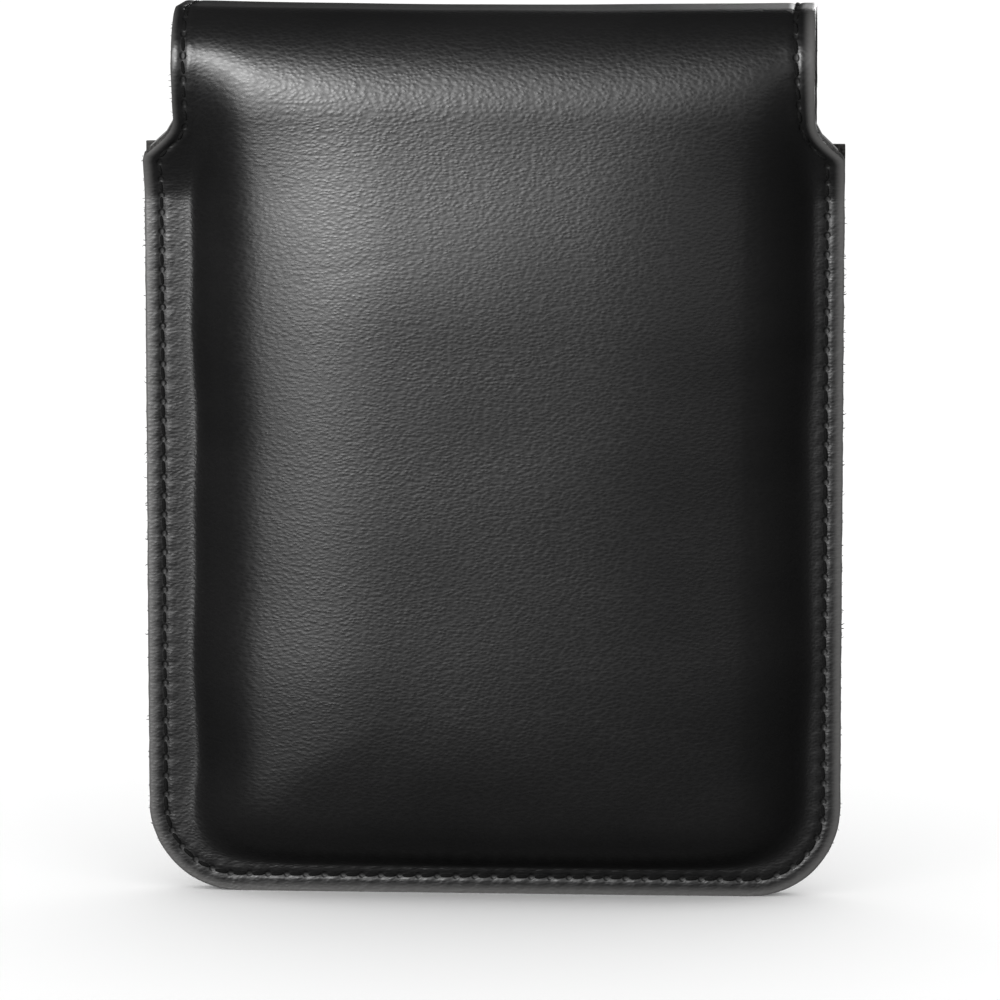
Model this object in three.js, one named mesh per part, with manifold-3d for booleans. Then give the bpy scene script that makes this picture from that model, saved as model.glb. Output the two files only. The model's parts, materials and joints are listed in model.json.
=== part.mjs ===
// A pocket transistor radio in its slip-in leather case, closed, standing on the case's bottom seam.
// Units are millimetres. +Z is up, the plain back of the case faces -Y and its flap closes over the front, +Y.
// The case is two lined leather panels sewn round the sides and the bottom. The back panel runs on upwards as
// a narrower strap, folds over the radio's top and hangs down the front as a flap with a press stud.
import * as THREE from 'three';
import { mergeVertices } from 'three/addons/utils/BufferGeometryUtils.js';
import Module from 'manifold-3d';

const wasm = await Module();
wasm.setup();

// ---- Driving dimensions: the leather case ----
const CASE_WIDTH = 110;
const CASE_HEIGHT = 141;
const PANEL_CORNER_R = 14.2;
const STRAP_WIDTH = 101.6;
const SHOULDER_LOW = 118;
const SHOULDER_HIGH = 124.6;
const SEAM_INSET = 2.7;
const LEATHER = 1.3;
const LINING = 0.5;
const GLUE_GAP = 0.15;
const HALF_SEAM_GAP = 0.1;
const FOLD_R = 8; // inside radius of the fold from the top down to the flap
const BACK_FOLD = { low: 124, run: 9 }; // the slower fold from the back to the top: where it starts, and its depth
const BACK_LEAN = { low: 84, high: 126, depth: 1.9 }; // the back leans in by depth between these heights
const BACK_CROWN = 0.07; // share of the back's depth that it loses from the middle to the sides
const BULGE_RUN = 17; // how far the leather takes to rise from the seam to the radio's face
const CORNER_EASE = 15; // radius that rounds the bulge off at the bottom corners
const FLAP_END = 86;
const FLAP_CORNER_R = 12;
const MOUTH_SIDE = 119.4;
const MOUTH_DIP = 7.5;
const THREAD_R = 0.3;
const THREAD_GAP = 0.4;
const HINGE_GAP = 0.15; // half of the slit between two parts of one sheet that bends there

// ---- Driving dimensions: the radio ----
const RADIO_WIDTH = 80;
const RADIO_HEIGHT = 121;
const RADIO_DEPTH = 22;
const RADIO_Z = 12.5;
const SHELL_CORNER_R = 10;
const SHELL_EDGE_R = 6;
const WALL = 1.6;
const KNOB = { x: 17.5, z: 99, r: 14 };
const WHEEL = { x: -30.5, z: 96, r: 11 };
const SPEAKER = { x: 0, z: 56.5 };
const SCREW_X = 33.5;
const SCREW_Z = 56.5;

// ---- Sizes that follow from those ----
const STACK = LINING + GLUE_GAP + LEATHER;
const TOP_DEPTH = RADIO_DEPTH / 2 + 1.5; // seam plane to the lining behind the radio's top
const BACK_DEPTH = TOP_DEPTH + BACK_LEAN.depth; // and behind its middle
const FRONT_DEPTH = 12.9; // seam plane to the front lining, clear of the tuning knob
const FLAP_DEPTH = FRONT_DEPTH + STACK + 2.15; // seam plane to the flap's lining, with room for the press stud
const CREST = CASE_HEIGHT - STACK; // the lining under the top
const FOLD_Z = CREST - FOLD_R;
const CAP_FRONT = FLAP_DEPTH + STACK + 1.4;
const SEAM_Y = (BACK_DEPTH + STACK - CAP_FRONT) / 2; // centres the whole depth on Y = 0
const STUD_Z = 96;

// ---- Materials ----
const paint = (color, roughness, metalness = 0) => new THREE.MeshStandardMaterial({ color, roughness, metalness });
const MATERIAL = {
  leather: paint(0x141414, 0.45),
  lining: paint(0x1b1a19, 0.95),
  thread: paint(0x0c0c0c, 0.7),
  nickel: paint(0xb9b7b0, 0.25, 1),
  cabinet: paint(0xe4dcc6, 0.35),
  trim: paint(0xc9c9c6, 0.35, 1),
  darkPlastic: paint(0x1e1e20, 0.4),
  battery: paint(0x26455c, 0.4),
  board: paint(0x9a6a35, 0.6),
  can: paint(0xa9abad, 0.35, 1),
  ferrite: paint(0x2c2b2a, 0.7),
  copper: paint(0xa5582c, 0.4, 1),
  paper: paint(0x3a3733, 0.9),
  steel: paint(0x8f9193, 0.35, 1),
};

// ---- Solids ----
// A closed three.js geometry as a solid that can be cut and joined.
function solid(geometry) {
  const bare = geometry.index ? geometry.toNonIndexed() : geometry.clone();
  for (const name of Object.keys(bare.attributes)) if (name !== 'position') bare.deleteAttribute(name);
  const merged = mergeVertices(bare, 1e-4);
  const vertProperties = new Float32Array(merged.attributes.position.array);
  return new wasm.Manifold(new wasm.Mesh({ numProp: 3, vertProperties, triVerts: new Uint32Array(merged.index.array) }));
}

function geometryOf(shape) {
  if (shape.isBufferGeometry) return shape;
  const cut = shape.getMesh();
  const geometry = new THREE.BufferGeometry();
  geometry.setAttribute('position', new THREE.BufferAttribute(new Float32Array(cut.vertProperties), 3));
  geometry.setIndex(new THREE.BufferAttribute(new Uint32Array(cut.triVerts), 1));
  geometry.computeVertexNormals();
  return geometry;
}

function piece(group, name, shape, material) {
  const mesh = new THREE.Mesh(geometryOf(shape), material);
  mesh.name = name;
  group.add(mesh);
  return mesh;
}

function box(x0, x1, y0, y1, z0, z1) {
  const block = new THREE.BoxGeometry(x1 - x0, y1 - y0, z1 - z0);
  return solid(block.translate((x0 + x1) / 2, (y0 + y1) / 2, (z0 + z1) / 2));
}

function rodY(x, z, r, y0, y1, sides = 24) {
  return solid(new THREE.CylinderGeometry(r, r, y1 - y0, sides).translate(x, (y0 + y1) / 2, z));
}

function rodX(y, z, r, x0, x1, sides = 12) {
  const rod = new THREE.CylinderGeometry(r, r, x1 - x0, sides).rotateZ(Math.PI / 2);
  return solid(rod.translate((x0 + x1) / 2, y, z));
}

function rodZ(x, y, r, z0, z1, sides = 16) {
  const rod = new THREE.CylinderGeometry(r, r, z1 - z0, sides).rotateX(Math.PI / 2);
  return solid(rod.translate(x, y, (z0 + z1) / 2));
}

// A profile of [radius, y] points turned about an axis along Y. It runs up the outside and down the inside.
function turnedY(points, x, z, sides = 28) {
  const profile = points.map(([r, y]) => new THREE.Vector2(r, y));
  return solid(new THREE.LatheGeometry(profile, sides).translate(x, 0, z));
}

function roundedRect(x0, x1, z0, z1, r) {
  const shape = new THREE.Shape();
  shape.moveTo(x0 + r, z0);
  shape.lineTo(x1 - r, z0);
  shape.absarc(x1 - r, z0 + r, r, -Math.PI / 2, 0);
  shape.lineTo(x1, z1 - r);
  shape.absarc(x1 - r, z1 - r, r, 0, Math.PI / 2);
  shape.lineTo(x0 + r, z1);
  shape.absarc(x0 + r, z1 - r, r, Math.PI / 2, Math.PI);
  shape.lineTo(x0, z0 + r);
  shape.absarc(x0 + r, z0 + r, r, Math.PI, 1.5 * Math.PI);
  return shape;
}

// A shape drawn in X and Z, made thick from y0 to y1, with both rims rounded by ease.
function slab(shape, y0, y1, ease = 0, steps = 4, curveSegments = 6) {
  const geometry = new THREE.ExtrudeGeometry(shape, {
    depth: y1 - y0 - 2 * ease,
    bevelEnabled: ease > 0,
    bevelSize: ease,
    bevelThickness: ease,
    bevelOffset: -ease,
    bevelSegments: steps,
    curveSegments,
  });
  return solid(geometry.rotateX(Math.PI / 2).translate(0, y1 - ease, 0));
}

// ---- The leather sheets ----
function smoothStep(from, to, value) {
  const t = Math.min(Math.max((value - from) / (to - from), 0), 1);
  return t * t * (3 - 2 * t);
}

// Half the width of the front panel at height z, rounded at its bottom corners.
function panelWidth(z) {
  const below = Math.max(PANEL_CORNER_R - z, 0);
  return CASE_WIDTH / 2 - PANEL_CORNER_R + Math.sqrt(Math.max(PANEL_CORNER_R ** 2 - below ** 2, 0));
}

// The same for the back sheet, which steps in at the shoulders to the strap's width.
function backWidth(z) {
  const t = Math.min(Math.max((z - SHOULDER_LOW) / (SHOULDER_HIGH - SHOULDER_LOW), 0), 1);
  return panelWidth(z) - (smoothStep(0, 1, t ** 0.8) * (CASE_WIDTH - STRAP_WIDTH)) / 2;
}

// How far a point lies inside the seam, with the bottom corners eased.
function insideSeam(x, z) {
  const side = CASE_WIDTH / 2 - SEAM_INSET - Math.abs(x);
  const bottom = z - SEAM_INSET;
  return CORNER_EASE - Math.hypot(Math.max(CORNER_EASE - side, 0), Math.max(CORNER_EASE - bottom, 0))
    + Math.max(Math.min(side, bottom) - CORNER_EASE, 0);
}

function bulge(x, z) {
  const t = Math.min(Math.max(insideSeam(x, z) / BULGE_RUN, 0), 1);
  return smoothStep(0, 1, t ** 0.82);
}

// Lengths along the back sheet, up to: the fold's start (a height), its end, the flat top's end, the flap's start.
const BACK_ARC = (Math.PI / 2) * Math.sqrt((BACK_FOLD.run ** 2 + (CREST - BACK_FOLD.low) ** 2) / 2);
const FRONT_ARC = (FOLD_R * Math.PI) / 2;
const TOP_FLAT = FLAP_DEPTH - FOLD_R + TOP_DEPTH - BACK_FOLD.run;
const TOP_START = BACK_FOLD.low + BACK_ARC;
const TOP_END = TOP_START + TOP_FLAT;
const FLAP_START = TOP_END + FRONT_ARC;
const FLAP_STOP = FLAP_START + FOLD_Z - FLAP_END;

// The lining's inner face of the back sheet. v is the height up to the fold and the length along the sheet after it.
function backPoint(x, v) {
  if (v <= BACK_FOLD.low) {
    const open = smoothStep(112, BACK_FOLD.low, v);
    const crown = 1 - BACK_CROWN * Math.min((x / 45) ** 2, 1) * (1 - open);
    const depth = TOP_DEPTH + BACK_LEAN.depth * (1 - smoothStep(BACK_LEAN.low, BACK_LEAN.high, v));
    const rise = bulge(x, v) * (1 - open) + open;
    return new THREE.Vector3(x, -HALF_SEAM_GAP - (depth * crown - HALF_SEAM_GAP) * rise, v);
  }
  if (v < TOP_START) {
    const turn = ((v - BACK_FOLD.low) / BACK_ARC) * (Math.PI / 2);
    const leaning = BACK_LEAN.depth * (1 - smoothStep(BACK_LEAN.low, BACK_LEAN.high, v));
    const y = -TOP_DEPTH - leaning + BACK_FOLD.run * (1 - Math.cos(turn));
    return new THREE.Vector3(x, y, BACK_FOLD.low + (CREST - BACK_FOLD.low) * Math.sin(turn));
  }
  if (v < TOP_END) return new THREE.Vector3(x, -TOP_DEPTH + BACK_FOLD.run + v - TOP_START, CREST);
  if (v < FLAP_START) {
    const turn = (v - TOP_END) / FOLD_R;
    return new THREE.Vector3(x, FLAP_DEPTH - FOLD_R * (1 - Math.sin(turn)), FOLD_Z + FOLD_R * Math.cos(turn));
  }
  return new THREE.Vector3(x, FLAP_DEPTH, FOLD_Z - (v - FLAP_START));
}

function mouthHeight(x) {
  return MOUTH_SIDE - MOUTH_DIP * Math.max(1 - (x / 46) ** 2, 0);
}

// The lining's inner face of the front panel, whose top edge dips in the middle.
function frontPoint(x, v) {
  const bend = 88;
  const z = v < bend ? v : bend + ((v - bend) * (mouthHeight(x) - bend)) / (MOUTH_SIDE - bend);
  return new THREE.Vector3(x, HALF_SEAM_GAP + (FRONT_DEPTH - HALF_SEAM_GAP) * bulge(x, z), z);
}

// A point moved off a sheet's inner face, outwards.
function offSheet(point, x, v, distance, sign) {
  const step = 0.05;
  const across = point(x + step, v).sub(point(x - step, v));
  const along = point(x, v + step).sub(point(x, v - step));
  const normal = across.cross(along).normalize().multiplyScalar(sign * distance);
  return point(x, v).add(normal);
}

// Where a sheet is divided across its width: closely where the panels rise from the seam, sparsely on the strap.
const PANEL_COLUMNS = [1, 0.951, 0.9, 0.855, 0.8, 0.75, 0.7, 0.64, 0.45, 0.2];
const STRAP_COLUMNS = [1, 0.7, 0.35];

// A layer of a sheet between two distances off its inner face. rows are lengths along it, width its half-width.
function layer(point, rows, across, width, [from, to], sign = 1) {
  const columns = [...across.map((u) => -u), 0, ...across.slice().reverse()];
  const positions = [];
  for (const distance of [from, to]) {
    for (const v of rows) {
      for (const u of columns) {
        positions.push(...offSheet(point, u * width(v), v, distance, sign).toArray());
      }
    }
  }
  const wide = columns.length;
  const high = rows.length;
  const at = (side, row, column) => side * wide * high + row * wide + column;
  const faces = [];
  const quad = (a, b, c, d) => faces.push(a, b, c, a, c, d);
  for (let row = 0; row < high - 1; row++) {
    for (let column = 0; column < wide - 1; column++) {
      quad(at(1, row, column), at(1, row, column + 1), at(1, row + 1, column + 1), at(1, row + 1, column));
      quad(at(0, row, column), at(0, row + 1, column), at(0, row + 1, column + 1), at(0, row, column + 1));
    }
    const last = wide - 1;
    quad(at(0, row, 0), at(1, row, 0), at(1, row + 1, 0), at(0, row + 1, 0));
    quad(at(0, row, last), at(0, row + 1, last), at(1, row + 1, last), at(1, row, last));
  }
  for (let column = 0; column < wide - 1; column++) {
    const last = high - 1;
    quad(at(0, 0, column), at(0, 0, column + 1), at(1, 0, column + 1), at(1, 0, column));
    quad(at(0, last, column), at(1, last, column), at(1, last, column + 1), at(0, last, column + 1));
  }
  if (sign < 0) for (let i = 0; i < faces.length; i += 3) [faces[i + 1], faces[i + 2]] = [faces[i + 2], faces[i + 1]];
  const geometry = new THREE.BufferGeometry();
  geometry.setAttribute('position', new THREE.Float32BufferAttribute(positions, 3));
  geometry.setIndex(faces);
  return solid(geometry);
}

// Rows from the bottom edge up to the end of the rounded corners, spaced by angle.
function cornerRows(radius, steps) {
  return Array.from({ length: steps }, (_, i) => radius * (1 - Math.cos((i * Math.PI) / 2 / steps)));
}

function evenRows(from, to, steps) {
  return Array.from({ length: steps + 1 }, (_, i) => from + ((to - from) * i) / steps);
}

const BODY_ROWS = [...cornerRows(PANEL_CORNER_R, 7), PANEL_CORNER_R, 16.5, 19, 30, 50, 70, 90];

// A thread along a curve that stands off the outside of a sheet.
function thread(point, line, sign = 1) {
  const off = STACK + THREAD_GAP + THREAD_R;
  const curve = new THREE.CatmullRomCurve3(line.map(([x, v]) => offSheet(point, x, v, off, sign)));
  const section = new THREE.Shape().absarc(0, 0, THREAD_R, 0, 2 * Math.PI);
  const steps = Math.round(curve.getLength() / 3.6);
  return new THREE.ExtrudeGeometry(section, { steps, curveSegments: 3, extrudePath: curve });
}

// The seam line up one side, from the bottom corner's end to a height; sideways is -1 or 1.
function sideLine(sideways, to, width) {
  const heights = [20, 40, 60, 80, 100, 110, 116, 119, 121, 123, 125, 128, 130].filter((z) => z < to - 1);
  return [...heights, to].map((z) => [sideways * (width(z) - SEAM_INSET), z]);
}

function cornerLine(sideways) {
  const r = PANEL_CORNER_R - SEAM_INSET;
  return evenRows(0, Math.PI / 2, 5).map((turn) => [
    sideways * (CASE_WIDTH / 2 - PANEL_CORNER_R + r * Math.sin(turn)),
    PANEL_CORNER_R - r * Math.cos(turn),
  ]);
}

function seamLine(to, width) {
  const left = [...cornerLine(-1), ...sideLine(-1, to, width)].reverse();
  const right = [...cornerLine(1), ...sideLine(1, to, width)];
  return [...left, [-20, SEAM_INSET], [0, SEAM_INSET], [20, SEAM_INSET], ...right];
}

const part = new THREE.Group();
part.position.y = SEAM_Y;

// ---- Leather case: back panel, strap and flap ----
const lay = { lining: [0, LINING], leather: [LINING + GLUE_GAP, STACK] };
const SPLIT = BACK_FOLD.low + BACK_ARC * 0.31; // where the strap hinges on the case
const shoulderRows = [104, 112, 116, 118, 119.3, 120.6, 121.9, 123.2, 124.6];
const backRows = [...BODY_ROWS, ...shoulderRows, ...evenRows(BACK_FOLD.low + 2.5, SPLIT - HINGE_GAP, 2)];
piece(part, 'case_back', layer(backPoint, backRows, PANEL_COLUMNS, backWidth, lay.leather), MATERIAL.leather);
piece(part, 'back_lining', layer(backPoint, backRows, PANEL_COLUMNS, backWidth, lay.lining), MATERIAL.lining);

const strapWidth = () => STRAP_WIDTH / 2;
const topRows = [...evenRows(SPLIT + HINGE_GAP, TOP_START, 6), ...evenRows(TOP_END, FLAP_START - HINGE_GAP, 5)];
piece(part, 'flap_top', layer(backPoint, topRows, STRAP_COLUMNS, strapWidth, lay.leather), MATERIAL.leather);
piece(part, 'flap_top_lining', layer(backPoint, topRows, STRAP_COLUMNS, strapWidth, lay.lining), MATERIAL.lining);

// The flap's free end has rounded corners, and one hole for the press stud's rivet.
function flapWidth(v) {
  const left = Math.max(FLAP_CORNER_R - (FLAP_STOP - v), 0);
  return STRAP_WIDTH / 2 - FLAP_CORNER_R + Math.sqrt(Math.max(FLAP_CORNER_R ** 2 - left ** 2, 0));
}
const flapRows = [
  ...evenRows(FLAP_START + HINGE_GAP, FLAP_STOP - FLAP_CORNER_R, 3),
  ...cornerRows(FLAP_CORNER_R, 6).slice(0, -1).reverse().map((rise) => FLAP_STOP - rise),
];
const flapHole = rodY(0, STUD_Z, 1.9, FLAP_DEPTH - 1, FLAP_DEPTH + STACK + 1);
const flapLeather = layer(backPoint, flapRows, STRAP_COLUMNS, flapWidth, lay.leather).subtract(flapHole);
const flapLining = layer(backPoint, flapRows, STRAP_COLUMNS, flapWidth, lay.lining).subtract(flapHole);
piece(part, 'flap_front', flapLeather, MATERIAL.leather);
piece(part, 'flap_front_lining', flapLining, MATERIAL.lining);

// ---- Leather case: front panel ----
const frontRows = [...BODY_ROWS, 98, 106, 112, 116, MOUTH_SIDE];
const studHole = rodY(0, STUD_Z, 1.9, FRONT_DEPTH - 1, FRONT_DEPTH + STACK + 1);
const frontLeather = layer(frontPoint, frontRows, PANEL_COLUMNS, panelWidth, lay.leather, -1).subtract(studHole);
const frontLining = layer(frontPoint, frontRows, PANEL_COLUMNS, panelWidth, lay.lining, -1).subtract(studHole);
piece(part, 'case_front', frontLeather, MATERIAL.leather);
piece(part, 'front_lining', frontLining, MATERIAL.lining);

// ---- Leather case: threads ----
piece(part, 'seam_thread_back', thread(backPoint, seamLine(SPLIT - 0.6, backWidth)), MATERIAL.thread);
piece(part, 'seam_thread_front', thread(frontPoint, seamLine(MOUTH_SIDE - 2, panelWidth), -1), MATERIAL.thread);
for (const [name, sideways] of [['left', -1], ['right', 1]]) {
  const x = sideways * (STRAP_WIDTH / 2 - SEAM_INSET);
  const line = [...evenRows(SPLIT + 0.6, TOP_START, 6), ...evenRows(TOP_END, FLAP_START - 0.6, 5)].map((v) => [x, v]);
  piece(part, `flap_top_thread_${name}`, thread(backPoint, line), MATERIAL.thread);
}
const flapCorner = (sideways) => evenRows(0, Math.PI / 2, 4).map((turn) => [
  sideways * (STRAP_WIDTH / 2 - FLAP_CORNER_R + (FLAP_CORNER_R - SEAM_INSET) * Math.cos(turn)),
  FLAP_STOP - FLAP_CORNER_R + (FLAP_CORNER_R - SEAM_INSET) * Math.sin(turn),
]);
const flapSide = (sideways) => evenRows(FLAP_START + 0.6, FLAP_STOP - FLAP_CORNER_R - 4, 3).map((v) => [
  sideways * (STRAP_WIDTH / 2 - SEAM_INSET), v,
]);
const flapLine = [
  ...flapSide(-1), ...flapCorner(-1), [0, FLAP_STOP - SEAM_INSET], ...flapCorner(1).reverse(), ...flapSide(1).reverse(),
];
piece(part, 'flap_front_thread', thread(backPoint, flapLine), MATERIAL.thread);

// ---- Press stud: cap and socket on the flap, stud and rivet on the front panel ----
const flapOut = FLAP_DEPTH + STACK;
const frontOut = FRONT_DEPTH + STACK;
const capProfile = [
  [0, flapOut - STACK - 0.2], [1.7, flapOut - STACK - 0.2], [1.7, flapOut + 0.05], [6.3, flapOut + 0.05],
  [6.3, flapOut + 0.35], [5.2, flapOut + 0.95], [3, flapOut + 1.3], [0, flapOut + 1.4],
];
piece(part, 'snap_cap', turnedY(capProfile, 0, STUD_Z), MATERIAL.nickel);
const socketProfile = [
  [2.6, frontOut + 0.65], [4.8, frontOut + 0.65], [4.8, FLAP_DEPTH - 0.05],
  [2.6, FLAP_DEPTH - 0.05], [2.6, frontOut + 0.65],
];
piece(part, 'snap_socket', turnedY(socketProfile, 0, STUD_Z), MATERIAL.nickel);
const studProfile = [
  [0, frontOut + 0.05], [4.6, frontOut + 0.05], [4.6, frontOut + 0.45], [1.5, frontOut + 0.45],
  [1.9, frontOut + 1.1], [1.5, frontOut + 1.7], [0, frontOut + 1.75],
];
piece(part, 'snap_stud', turnedY(studProfile, 0, STUD_Z), MATERIAL.nickel);
const postProfile = [
  [0, FRONT_DEPTH - 0.45], [4.4, FRONT_DEPTH - 0.45], [4.4, FRONT_DEPTH - 0.05],
  [1.7, FRONT_DEPTH - 0.05], [1.7, frontOut], [0, frontOut],
];
piece(part, 'snap_post', turnedY(postProfile, 0, STUD_Z), MATERIAL.nickel);

// ---- Radio: cabinet ----
const radio = new THREE.Group();
radio.position.z = RADIO_Z;
part.add(radio);
const halfW = RADIO_WIDTH / 2;
const halfD = RADIO_DEPTH / 2;
const outline = roundedRect(-halfW, halfW, 0, RADIO_HEIGHT, SHELL_CORNER_R);
const outside = slab(outline, -halfD, halfD, SHELL_EDGE_R, 5);
const hollow = roundedRect(-halfW + WALL, halfW - WALL, WALL, RADIO_HEIGHT - WALL, SHELL_CORNER_R - WALL);
const inside = slab(hollow, -halfD + WALL, halfD - WALL, SHELL_EDGE_R - WALL, 3);
const shell = outside.subtract(inside);
const innerFace = halfD - WALL;
const split = 0.15;

const jackHole = rodZ(-20, 0, 3.1, RADIO_HEIGHT - 5, RADIO_HEIGHT + 2);
const wheelSlot = box(-halfW - 2, -halfW + 5, -0.5, 3.7, WHEEL.z - 8.5, WHEEL.z + 8.5);
const GRILLE = { x: 32, low: 22, high: 81.5, r: 4 };
const grilleSeat = slab(roundedRect(-GRILLE.x, GRILLE.x, GRILLE.low, GRILLE.high, GRILLE.r), halfD - 0.9, halfD + 2);
const PLATE = { left: -33, right: 8, low: 85, high: 113.5, r: 3, gap: 0.3 };
const plateSeat = slab(roundedRect(PLATE.left, PLATE.right, PLATE.low, PLATE.high, PLATE.r), halfD - 0.7, halfD + 2);
const knobSeat = rodY(KNOB.x, KNOB.z, KNOB.r + 0.8, halfD - 1.3, halfD + 2, 36);
const screwBosses = [-SCREW_X, SCREW_X].map((x) => rodY(x, SCREW_Z, 2.8, -halfD + WALL + 1.2, innerFace + 0.4, 12));
const bossBores = [-SCREW_X, SCREW_X].map((x) => rodY(x, SCREW_Z, 1.25, -halfD, 0, 8));

let frontShell = shell.intersect(box(-60, 60, split, 20, -5, 130));
for (const boss of screwBosses) frontShell = frontShell.add(boss);
for (const bore of bossBores) frontShell = frontShell.subtract(bore);
frontShell = frontShell.subtract(grilleSeat).subtract(plateSeat).subtract(knobSeat)
  .subtract(rodY(SPEAKER.x, SPEAKER.z, 22, 5, 20, 32))
  .subtract(rodY(KNOB.x, KNOB.z, 3.8, 5, 20, 20))
  .subtract(jackHole).subtract(wheelSlot);
piece(radio, 'front_shell', frontShell, MATERIAL.cabinet);

const DOOR = { x: 25, low: 7.5, high: 31.5, r: 2.5, gap: 0.3 };
const doorHole = roundedRect(-DOOR.x - DOOR.gap, DOOR.x + DOOR.gap, DOOR.low - DOOR.gap, DOOR.high + DOOR.gap, DOOR.r);
let backShell = shell.intersect(box(-60, 60, -20, -split, -5, 130))
  .subtract(slab(doorHole, -20, -5)).subtract(jackHole).subtract(wheelSlot);
for (const x of [-SCREW_X, SCREW_X]) {
  backShell = backShell.subtract(rodY(x, SCREW_Z, 1.3, -20, -5, 12)).subtract(rodY(x, SCREW_Z, 2.9, -20, -halfD + 0.9, 16));
}
piece(radio, 'back_shell', backShell, MATERIAL.cabinet);
const doorPlate = slab(roundedRect(-DOOR.x, DOOR.x, DOOR.low, DOOR.high, DOOR.r - 0.3), -halfD, -halfD + WALL);
const doorRib = box(-8, 8, -halfD - 0.35, -halfD + 0.3, DOOR.high - 5, DOOR.high - 3.6);
piece(radio, 'battery_door', doorPlate.add(doorRib), MATERIAL.cabinet);
for (const [i, x] of [-SCREW_X, SCREW_X].entries()) {
  const screw = rodY(x, SCREW_Z, 2.6, -halfD + 0.1, -halfD + 0.85, 14).add(rodY(x, SCREW_Z, 1.0, -halfD + 0.5, -5, 8));
  piece(radio, `shell_screw_${i + 1}`, screw, MATERIAL.steel);
}

// ---- Radio: front trim ----
let grille = slab(roundedRect(-31.7, 31.7, 22.3, 81.2, 3.7), halfD - 0.8, halfD - 0.1);
for (const z of evenRows(27, 77, 12)) {
  grille = grille.subtract(slab(roundedRect(-27, 27, z - 1.1, z + 1.1, 1.09), 5, 20, 0, 0, 2));
}
piece(radio, 'speaker_grille', grille, MATERIAL.trim);
const plateShape = roundedRect(PLATE.left + PLATE.gap, PLATE.right - PLATE.gap, PLATE.low + PLATE.gap, PLATE.high - PLATE.gap, 2.7);
const dialPlate = slab(plateShape, halfD - 0.6, halfD - 0.1)
  .subtract(rodY(KNOB.x, KNOB.z, KNOB.r + 0.8, 5, 20, 36));
piece(radio, 'dial_plate', dialPlate, MATERIAL.trim);

// ---- Radio: tuning ----
const knobProfile = [
  [1.4, 5], [3.2, 5], [3.2, halfD - 1.1], [KNOB.r, halfD - 1.1], [KNOB.r, halfD + 0.9], [KNOB.r - 0.5, halfD + 1.3],
  [3.4, halfD + 1.3], [3.4, halfD + 0.4], [1.4, halfD + 0.4], [1.4, 5],
];
piece(radio, 'tuning_knob', turnedY(knobProfile, KNOB.x, KNOB.z, 36), MATERIAL.darkPlastic);
const knobScrew = rodY(KNOB.x, KNOB.z, 3, halfD + 0.5, halfD + 1.1, 14).add(rodY(KNOB.x, KNOB.z, 1.0, 4.9, halfD + 0.7, 8));
piece(radio, 'knob_screw', knobScrew, MATERIAL.steel);
const gangBox = box(KNOB.x - 10, KNOB.x + 10, -4.8, 3.2, KNOB.z - 10, KNOB.z + 10);
piece(radio, 'tuning_capacitor', gangBox.subtract(rodY(KNOB.x, KNOB.z, 8.8, -3.6, 5, 24)), MATERIAL.can);
const halfDisc = new THREE.Shape().absarc(KNOB.x, KNOB.z, 8, 0, Math.PI);
let rotor = rodY(KNOB.x, KNOB.z, 2, -3.3, 4.7, 16);
for (const y of [-2.6, -0.6, 1.4]) rotor = rotor.add(slab(halfDisc, y, y + 0.8));
piece(radio, 'tuning_rotor', rotor, MATERIAL.can);

// ---- Radio: volume ----
let wheel = rodY(WHEEL.x, WHEEL.z, WHEEL.r, 0.5, 3.3, 36);
for (let i = 0; i < 18; i++) {
  const turn = (i * 2 * Math.PI) / 18;
  const x = WHEEL.x + (WHEEL.r + 0.35) * Math.cos(turn);
  const z = WHEEL.z + (WHEEL.r + 0.35) * Math.sin(turn);
  wheel = wheel.subtract(rodY(x, z, 0.8, 0, 4, 6));
}
piece(radio, 'volume_wheel', wheel, MATERIAL.darkPlastic);
piece(radio, 'volume_control', rodY(WHEEL.x, WHEEL.z, 7, -4.8, 0.2, 20), MATERIAL.can);

// ---- Radio: loudspeaker ----
const frameProfile = [
  [8.4, -0.9], [15, -0.9], [25, 6.6], [25, 9.2], [23.7, 9.2], [23.7, 7.1], [14.5, 0], [8.4, 0], [8.4, -0.9],
];
piece(radio, 'speaker_frame', turnedY(frameProfile, SPEAKER.x, SPEAKER.z), MATERIAL.steel);
const magnetProfile = [
  [0, -9], [13, -9], [13, -1.1], [8.1, -1.1], [8.1, -5.2], [5.5, -5.2], [5.5, -1.1], [0, -1.1],
];
piece(radio, 'speaker_magnet', turnedY(magnetProfile, SPEAKER.x, SPEAKER.z), MATERIAL.ferrite);
const coneProfile = [
  [0, 2], [3.4, 1.6], [6.2, 0.7], [6.2, -3.8], [7.3, -3.8], [7.3, 0.5], [21.4, 7.2], [22.9, 7.4],
  [22.9, 7.9], [21.2, 7.9], [6.6, 1.3], [3.5, 2.2], [0, 2.6],
];
piece(radio, 'speaker_cone', turnedY(coneProfile, SPEAKER.x, SPEAKER.z), MATERIAL.paper);

// ---- Radio: battery ----
piece(radio, 'battery', slab(roundedRect(-24.2, 24.2, 5, 31, 2), -9, 8.3, 0.8, 2, 3), MATERIAL.battery);
const snapPad = box(24.5, 27.4, -7, 6.5, 6.5, 29);
piece(radio, 'battery_snap', snapPad, MATERIAL.darkPlastic);

// ---- Radio: circuit board and what is soldered to it ----
const boardFace = -5;
const onBoard = boardFace + 0.2;
let board = slab(roundedRect(-37, 37, 32, 112, 2), boardFace - 1.2, boardFace)
  .subtract(rodY(SPEAKER.x, SPEAKER.z, 14.5, -20, 20, 24));
for (const x of [-SCREW_X, SCREW_X]) board = board.subtract(rodY(x, SCREW_Z, 3.3, -20, 20, 12));
piece(radio, 'circuit_board', board, MATERIAL.board);

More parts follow.
